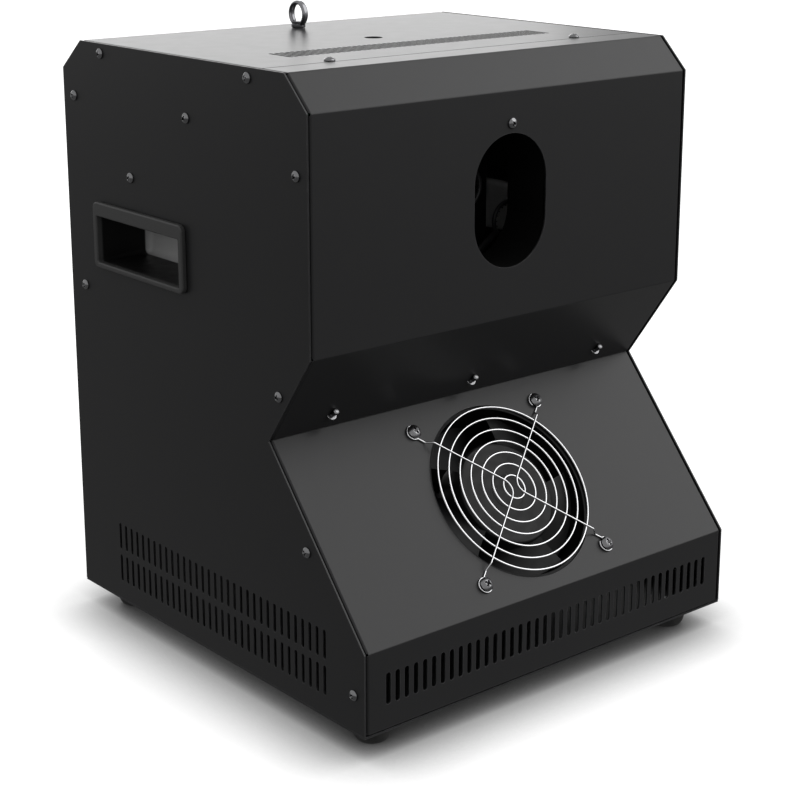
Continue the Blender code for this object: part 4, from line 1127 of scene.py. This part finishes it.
def guard_spoke(side):
    """One wire: round a screw, along the panel, up to the rings, round a soft bend near the centre, and back
    to the other screw."""
    corner = Vector((FAN_SCREW_HALF, FAN_SCREW_HALF))
    low = GAP + SPOKE_WIRE
    high = GUARD_HEIGHT + RING_WIRE + SPOKE_WIRE * 0.6
    loop = 0.0047
    inward = math.radians(225)
    points = []
    for i in range(25):
        a = inward + math.radians(32 + 318 * (1 - i / 24))
        points.append((corner.x + loop * math.cos(a), corner.y + loop * math.sin(a), low))
    start = Vector(points[-1][:2])
    bend = Vector((0.0058, 0.0062))
    reach = (bend - start).length
    for distance, height in (
        (0.0020, low),
        (0.0048, low),
        (0.0056, low + 0.0002),
        (0.0062, low + 0.0008),
        (0.0084, high - 0.0008),
        (0.0091, high - 0.0002),
        (0.0100, high),
        (0.0200, high),
        (0.0400, high),
        (reach, high),
    ):
        spot = start.lerp(bend, distance / reach)
        points.append((spot.x, spot.y, height))
    for x, y in ((0.0046, 0.0048), (0.0037, 0.0033), (0.0031, 0.0017)):
        points.append((x, y, high))
    points.append((0.0029, 0.0, high))
    other = [(x, -y, z) for x, y, z in reversed(points[:-1])]
    return [(side * x, y, z) for x, y, z in points + other]


def fan_guard():
    raised = at(0, 0, GUARD_HEIGHT)
    parts = [(donut(GUARD_PITCH * i, RING_WIRE, 96, 12), raised) for i in range(1, GUARD_RINGS + 1)]
    parts += [(tube(guard_spoke(side), SPOKE_WIRE), HERE) for side in (-1, 1)]
    place = on_slope(FAN_DOWN_SLOPE)
    piece("fan_guard_wires", joined(*parts), "chrome", place, stands_for=["fan_guard"], crisp=60)


def guard_screws():
    out = GAP + 2 * SPOKE_WIRE + 0.0002
    for i, (sx, sy) in enumerate([(-1, 1), (1, 1), (1, -1), (-1, -1)]):
        place = on_slope(FAN_DOWN_SLOPE, out) @ at(sx * FAN_SCREW_HALF, sy * FAN_SCREW_HALF)
        node = f"guard_screw_{i + 1}"
        screw(f"{node}_head", place, 20 + 41 * i, GUARD_SCREW_HEAD, 0.012, [node])


# Bubble works


def outlet_duct():
    """Oval collar behind the outlet, on a flange that one screw holds to the face."""
    inner = stadium(OUTLET_HALF_WIDTH + 0.0008, OUTLET_HALF_HEIGHT + 0.0008, steps=32)
    collar = stadium(OUTLET_HALF_WIDTH + 0.0028, OUTLET_HALF_HEIGHT + 0.0028, steps=32)
    flange = rounded(0.038, 0.0560, 0.008, (0, 0.0010))
    hole = circle(0.0022, (0, OUTLET_SCREW_Z - OUTLET_Z), 20)
    plate = sheet([flange, inner, hole], 0.0020, 0.0003, 2)
    wall = sheet([collar, inner], 0.034, 0.0003, 2)
    face = FACE_TOP[0] + SHEET + GAP
    mesh = joined((plate, HERE), (wall, at(0, 0, -0.0162)))
    place = at(0, face + 0.0010, OUTLET_Z) @ FACING_FRONT
    piece("outlet_duct_collar", mesh, "black_plastic", place, "case", ["outlet_duct"], "duct_plastic")


def bubble_wheel():
    """Wheel of blowing loops, each a ring with fine teeth that hold the fluid."""
    hub = [(0.0023, 0.0040), (0.0094, 0.0040), (0.0100, 0.0034)]
    hub += [(radius, -z) for radius, z in reversed(hub)]
    parts = [(turned(hub), HERE)]
    arm = WHEEL_RADIUS - LOOP_RADIUS - 0.0080
    for i in range(LOOPS):
        spin = Matrix.Rotation(-LOOP_PHASE + 2 * math.pi * i / LOOPS, 4, "Z")
        parts.append((soft_block((0.0034, arm, 0.0030), 0.0006), spin @ at(0, 0.0080 + arm / 2)))
        parts.append((donut(LOOP_RADIUS, 0.0014, 40, 10), spin @ at(0, WHEEL_RADIUS)))
        for j in range(20):
            tooth = soft_block((0.0014, 0.0007, 0.0022), 0.0002, 1)
            around = turn(18 * j, "Z") @ at(LOOP_RADIUS - 0.0016)
            parts.append((tooth, spin @ at(0, WHEEL_RADIUS) @ around))
    place = at(0, WHEEL_Y, WHEEL_Z) @ turn(90, "X")
    name = "bubble_wheel"
    piece(f"{name}_loops", joined(*parts), "wheel_plastic", place, name, [name], crisp=40)


# Tanks


def tank(name, side):
    """Moulded tank with round edges, whose sloped shoulder carries a threaded filler neck."""
    profile = [
        (TANK_FRONT, TANK_BOTTOM),
        (TANK_BACK, TANK_BOTTOM),
        (TANK_BACK, TANK_TOP - TANK_SLOPE),
        (TANK_BACK - TANK_SLOPE, TANK_TOP),
        (TANK_FRONT, TANK_TOP),
    ]
    body = sheet([profile], 2 * TANK_HALF, 0.0035, 4)
    neck = [(NECK_BORE, NECK_LENGTH), (NECK_RADIUS - 0.0009, NECK_LENGTH)]
    for i in range(4):
        z = NECK_LENGTH - 0.0018 - 0.0022 * i
        neck += [(NECK_RADIUS - 0.0008, z + 0.0006), (NECK_RADIUS, z), (NECK_RADIUS - 0.0008, z - 0.0006)]
    neck += [(NECK_RADIUS - 0.0008, -0.0020), (NECK_BORE, -0.0020)]
    shoulder = at(FILLER_Y, FILLER_Z) @ turn(-45, "Z") @ turn(-90, "X")
    mesh = joined((body, HERE), (turned(neck), shoulder))
    place = at(side * TANK_X) @ turn(90, "Z") @ turn(90, "X")
    piece(f"{name}_moulding", mesh, "tank_plastic", place, stands_for=[name], crisp=40)


def tank_cap(name, side):
    """Screw cap with a ribbed rim and a shallow dish in its top."""
    inside = NECK_RADIUS + GAP
    outer = inside + 0.0022
    top = 0.0180
    rib_depth = 0.0007
    sides = 96
    rings = []
    for radius, z, rib in (
        (0.0030, NECK_LENGTH + GAP, 0),
        (inside, NECK_LENGTH + GAP, 0),
        (inside, 0.0012, 0),
        (outer - 0.0003, 0.0012, 0),
        (outer, 0.0016, 0),
        (outer, 0.0030, 0),
        (outer, 0.0036, rib_depth),
        (outer, top - 0.0022, rib_depth),
        (outer - 0.0006, top - 0.0008, 0),
        (outer - 0.0018, top, 0),
        (outer - 0.0040, top, 0),
        (outer - 0.0048, top - 0.0008, 0),
        (0.0030, top - 0.0008, 0),
    ):
        around = circle(radius, sides=sides)
        ribbed = circle(radius - rib, sides=sides)
        rings.append(flat_ring([(around, ribbed)[i % 2][i] for i in range(sides)], z))
    place = at(side * TANK_X, FILLER_Y, FILLER_Z) @ turn(-45, "X")
    piece(f"{name}_ribbed", loft(rings), "black_plastic", place, name, [name], crisp=40)


# Back panel fittings


def open_cup(half_x, half_y, corner, depth, wall):
    """Recess with its mouth at z = 0."""

    def level(spread, z):
        return flat_ring(rounded(half_x + spread, half_y + spread, corner, steps=3), z)

    inside = loft([level(wall, 0.0), level(0.0, 0.0), level(0.0, 0.0006 - depth), level(-0.0006, -depth)])
    outside = loft([level(wall, 0.0), level(wall, -depth - wall)])
    return joined((uncapped(inside), HERE), (uncapped(outside), HERE))


def power_inlet():
    """Mains inlet with three pins above the pocket for its fuse drawer."""
    face = 0.0029
    place = at(INLET_X, face, INLET_Z) @ FACING_BACK
    socket = rounded(0.0113, 0.0075, 0.0022, (0, 0.0070), 4)
    pocket = rounded(0.0103, 0.0043, 0.0006, (0, -0.0105), 4)
    flange = sheet([rounded(0.0165, 0.0215, 0.0022), socket, pocket], 0.0026, 0.0005, 3)
    parts = [
        (flange, at(0, 0, -0.0013)),
        (open_cup(0.0113, 0.0075, 0.0022, 0.0160, 0.0010), at(0, 0.0070, -0.0006)),
        (open_cup(0.0103, 0.0043, 0.0006, 0.0160, 0.0010), at(0, -0.0105, -0.0006)),
    ]
    piece("power_inlet_housing", joined(*parts), "black_plastic", place, stands_for=["power_inlet"])
    pin = soft_block((0.0020, 0.0038, 0.0120), 0.0005)
    spots = ((-0.0070, 0.0050), (0.0070, 0.0050), (0.0, 0.0095))
    pins = joined(*((pin, at(x, z, -0.0098)) for x, z in spots))
    piece("power_inlet_pins", pins, "zinc", place, finish="pin_metal")


def fuse_drawer():
    """Drawer front with a finger tab."""
    place = at(INLET_X, 0.0027, INLET_Z - 0.0105) @ FACING_BACK
    front = soft_block((0.0200, 0.0080, 0.0030), 0.0006)
    box = soft_block((0.0196, 0.0074, 0.0110), 0.0004)
    tab = soft_block((0.0080, 0.0018, 0.0024), 0.0005)
    mesh = joined((front, at(0, 0, -0.0015)), (box, at(0, 0, -0.0080)), (tab, at(0, 0, 0.0006)))
    piece("fuse_drawer_front", mesh, "black_plastic", place, "fuse_drawer", ["fuse_drawer"])


def power_switch():
    """Rocker in its framed housing."""
    place = at(SWITCH_X, 0.0025, INLET_Z) @ FACING_BACK
    mouth = rounded(0.0065, 0.0120, 0.0006, steps=4)
    flange = sheet([rounded(0.0115, 0.0160, 0.0016), mouth], 0.0022, 0.0005, 3)
    cup = open_cup(0.0065, 0.0120, 0.0006, 0.0165, 0.0015)
    mesh = joined((flange, at(0, 0, -0.0011)), (cup, at(0, 0, -0.0006)))
    piece("switch_housing_frame", mesh, "black_plastic", place, stands_for=["switch_housing"])
    key = [(-0.0095, 0.0030), (-0.0055, 0.0020), (0.0, 0.0016), (0.0055, 0.0020), (0.0095, 0.0030)]
    key += [(0.0095, 0.0000), (0.0040, -0.0050), (-0.0040, -0.0050), (-0.0095, 0.0000)]
    sideways = Matrix(((0, 0, 1, 0), (0, 1, 0, 0), (-1, 0, 0, 0), (0, 0, 0, 1)))
    upright = at(SWITCH_X, 0.0, INLET_Z) @ turn(-SWITCH_TILT, "X") @ sideways
    rocker = sheet([key], 0.0124, 0.0004, 2)
    piece("switch_rocker_key", rocker, "red_plastic", upright, "switch_rocker", ["switch_rocker"])


def display():
    """Smoked window with bevelled edges."""
    pane = soft_block((0.0480, 0.0200, 0.0020), 0.0005)
    place = at(DISPLAY_X, -0.0006, DISPLAY_Z) @ FACING_BACK
    piece("display_pane", pane, "window", place, stands_for=["display_window"])


def menu_button(i):
    """Round key with a dished top."""
    name = f"menu_button_{i + 1}"
    profile = [(0.0, 0.0012), (0.0020, 0.0014), (BUTTON_RADIUS - 0.0006, 0.0017)]
    profile += [(BUTTON_RADIUS - 0.0002, 0.0015), (BUTTON_RADIUS, 0.0011), (BUTTON_RADIUS, -0.0015)]
    profile.append((BUTTON_RADIUS + 0.0010, -0.0015))
    profile += [(BUTTON_RADIUS + 0.0010, -0.0035), (0.0, -0.0035)]
    place = at(button_x(i), 0, BUTTON_Z) @ turn(-90, "X")
    piece(f"{name}_key", turned(profile, 40), "black_plastic", place, name, [name])


# Nodes that keep their CAD shape

KEPT = {
    "base_pan": ("painted_steel", "painted_steel"),
    "middle_shelf": ("painted_steel", "painted_steel"),
    # The works plate is painted steel with the darker cast_metal finish, as painted shade for the unlit
    # inside seen through the outlet
    "works_plate": ("cast_metal", "painted_steel"),
    "wheel_shaft": ("zinc", "zinc"),
    "wheel_motor": ("cast_metal", "cast_metal"),
    "fluid_tray": ("wheel_plastic", "wheel_plastic"),
    "haze_heater": ("cast_metal", "cast_metal"),
    "haze_tube": ("zinc", "zinc"),
    "haze_pump": ("black_plastic", "black_plastic"),
    "bubble_pump": ("black_plastic", "black_plastic"),
    "haze_suction_hose": ("clear_hose", "clear_hose"),
    "haze_feed_hose": ("clear_hose", "clear_hose"),
    "bubble_suction_hose": ("clear_hose", "clear_hose"),
    "tray_feed_hose": ("clear_hose", "clear_hose"),
    "power_supply": ("zinc", "zinc"),
    "control_board": ("circuit_board", "circuit_board"),
}


def kept_nodes():
    """Inner pieces: the CAD shape with softened edges and the same materials as the rest."""
    for name, (finish, slot) in KEPT.items():
        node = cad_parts[name]
        node.data.materials.clear()
        node.data.materials.append(FINISH[finish])
        soft = node.modifiers.new("soft_edges", "BEVEL")
        soft.width = 0.0004
        soft.segments = 2
        soft.limit_method = "ANGLE"
        soft.angle_limit = math.radians(40)


# Studio


def area_light(name, place, target, size, power):
    data = bpy.data.lights.new(name, "AREA")
    data.shape = "RECTANGLE"
    data.size, data.size_y = size
    data.energy = power
    made = bpy.data.objects.new(name, data)
    made.location = place
    made.rotation_mode = "QUATERNION"
    made.rotation_quaternion = (Vector(target) - Vector(place)).to_track_quat("-Z", "Y")
    made.visible_camera = False
    bpy.context.scene.collection.objects.link(made)


def sun(name, towards, spread, strength):
    """Soft light from very far away, so that it's as bright on the far floor as on the object."""
    data = bpy.data.lights.new(name, "SUN")
    data.angle = math.radians(spread)
    data.energy = strength
    made = bpy.data.objects.new(name, data)
    made.rotation_mode = "QUATERNION"
    made.rotation_quaternion = Vector(towards).to_track_quat("Z", "Y")
    bpy.context.scene.collection.objects.link(made)


def backdrop(low, high):
    """Pale surroundings that are dimmer below the horizon, as from dark cards at the sides of the table."""
    world = bpy.data.worlds.new("studio")
    world.use_nodes = True
    nodes, links = world.node_tree.nodes, world.node_tree.links
    aim = nodes.new("ShaderNodeTexCoord")
    parts = nodes.new("ShaderNodeSeparateXYZ")
    level = nodes.new("ShaderNodeMapRange")
    for name, value in (("From Min", -0.10), ("From Max", 0.0), ("To Min", low), ("To Max", high)):
        level.inputs[name].default_value = value
    links.new(aim.outputs["Generated"], parts.inputs["Vector"])
    links.new(parts.outputs["Z"], level.inputs["Value"])
    links.new(level.outputs["Result"], nodes["Background"].inputs["Strength"])
    nodes["Background"].inputs["Color"].default_value = (1, 1, 1, 1)
    bpy.context.scene.world = world


def studio():
    """Pale floor, seen and shadowed but kept out of the object's reflections, under soft light from the front
    right and from behind. A contact shadow is painted into its colour and glow, darker where the floor is
    closed in."""
    shape = bmesh.new()
    bmesh.ops.create_grid(shape, x_segments=8, y_segments=8, size=14)
    mesh = mesh_of(shape, "floor")
    paper = Recipe("floor", 0.6, gloss=0.3)
    # Painted contact shadow: the floor's colour and glow are darkened by how closed in it is round the object
    open_sky = paper.tree.nodes.new("ShaderNodeAmbientOcclusion")
    open_sky.inputs["Distance"].default_value = 0.057
    light = paper.tree.nodes.new("ShaderNodeMath")
    light.operation = "POWER"
    light.inputs[1].default_value = 1.8
    paper.link(open_sky.outputs["AO"], light.inputs[0])
    tone = paper.mixed(paper.noise(0.4, 2.0), (0.29, 0.29, 0.29), (0.31, 0.31, 0.31))
    tone = paper.mixed(light.outputs["Value"], (0.0, 0.0, 0.0), tone)
    glow_with_painted_shadow = paper.mixed(light.outputs["Value"], (0.0, 0.0, 0.0), (0.88, 0.88, 0.88))
    paper.bump(paper.noise(0.003), 0.00002)
    paper.link(glow_with_painted_shadow, paper.shader.inputs["Emission Color"])
    paper.shader.inputs["Emission Strength"].default_value = 1.0
    mesh.materials.append(paper.done(tone, paper.uneven(0.05, 0.5, 0.65, 2.0)))
    floor = bpy.data.objects.new("floor", mesh)
    floor.visible_glossy = False
    floor.visible_diffuse = False
    bpy.context.scene.collection.objects.link(floor)
    backdrop(0.22, 0.85)
    sun("front_light", (0.62, -0.52, 0.60), 62, 1.66)
    area_light("rear_softbox", (0.95, 2.25, 1.0), (0, 0, 0.39), (2.3, 1.2), 13)
    bpy.context.scene.view_settings.view_transform = "Standard"


def camera():
    """Same place and lens as the photograph's."""
    data = bpy.data.cameras.new("camera")
    data.lens = 82.566
    data.sensor_width = 36
    data.shift_x = 0.00134
    data.shift_y = -0.0947
    made = bpy.data.objects.new("camera", data)
    made.location = (-0.7576, -0.9086, 0.5206)
    made.rotation_mode = "QUATERNION"
    made.rotation_quaternion = Vector((0.62027, 0.74103, -0.25718)).to_track_quat("-Z", "Y")
    bpy.context.scene.collection.objects.link(made)
    bpy.context.scene.camera = made


def build():
    front_upper_cover()
    front_lower_cover()
    top_cover()
    back_panel()
    for side in (-1, 1):
        side_panel(side)
        handle(side)
        for name, y in (("front", -0.2869), ("rear", -0.0243)):
            foot(f"foot_{name}_{'left' if side < 0 else 'right'}", side * (HALF_WIDTH - 0.025), y)
    eye_bolt()
    panel_screws()
    lower_fan()
    outlet_fan()
    fan_guard()
    guard_screws()
    outlet_duct()
    bubble_wheel()
    tank("haze_tank", -1)
    tank("bubble_tank", 1)
    tank_cap("haze_tank_cap", -1)
    tank_cap("bubble_tank_cap", 1)
    power_inlet()
    fuse_drawer()
    power_switch()
    display()
    for i in range(4):
        menu_button(i)
    kept_nodes()
    studio()
    camera()


build()
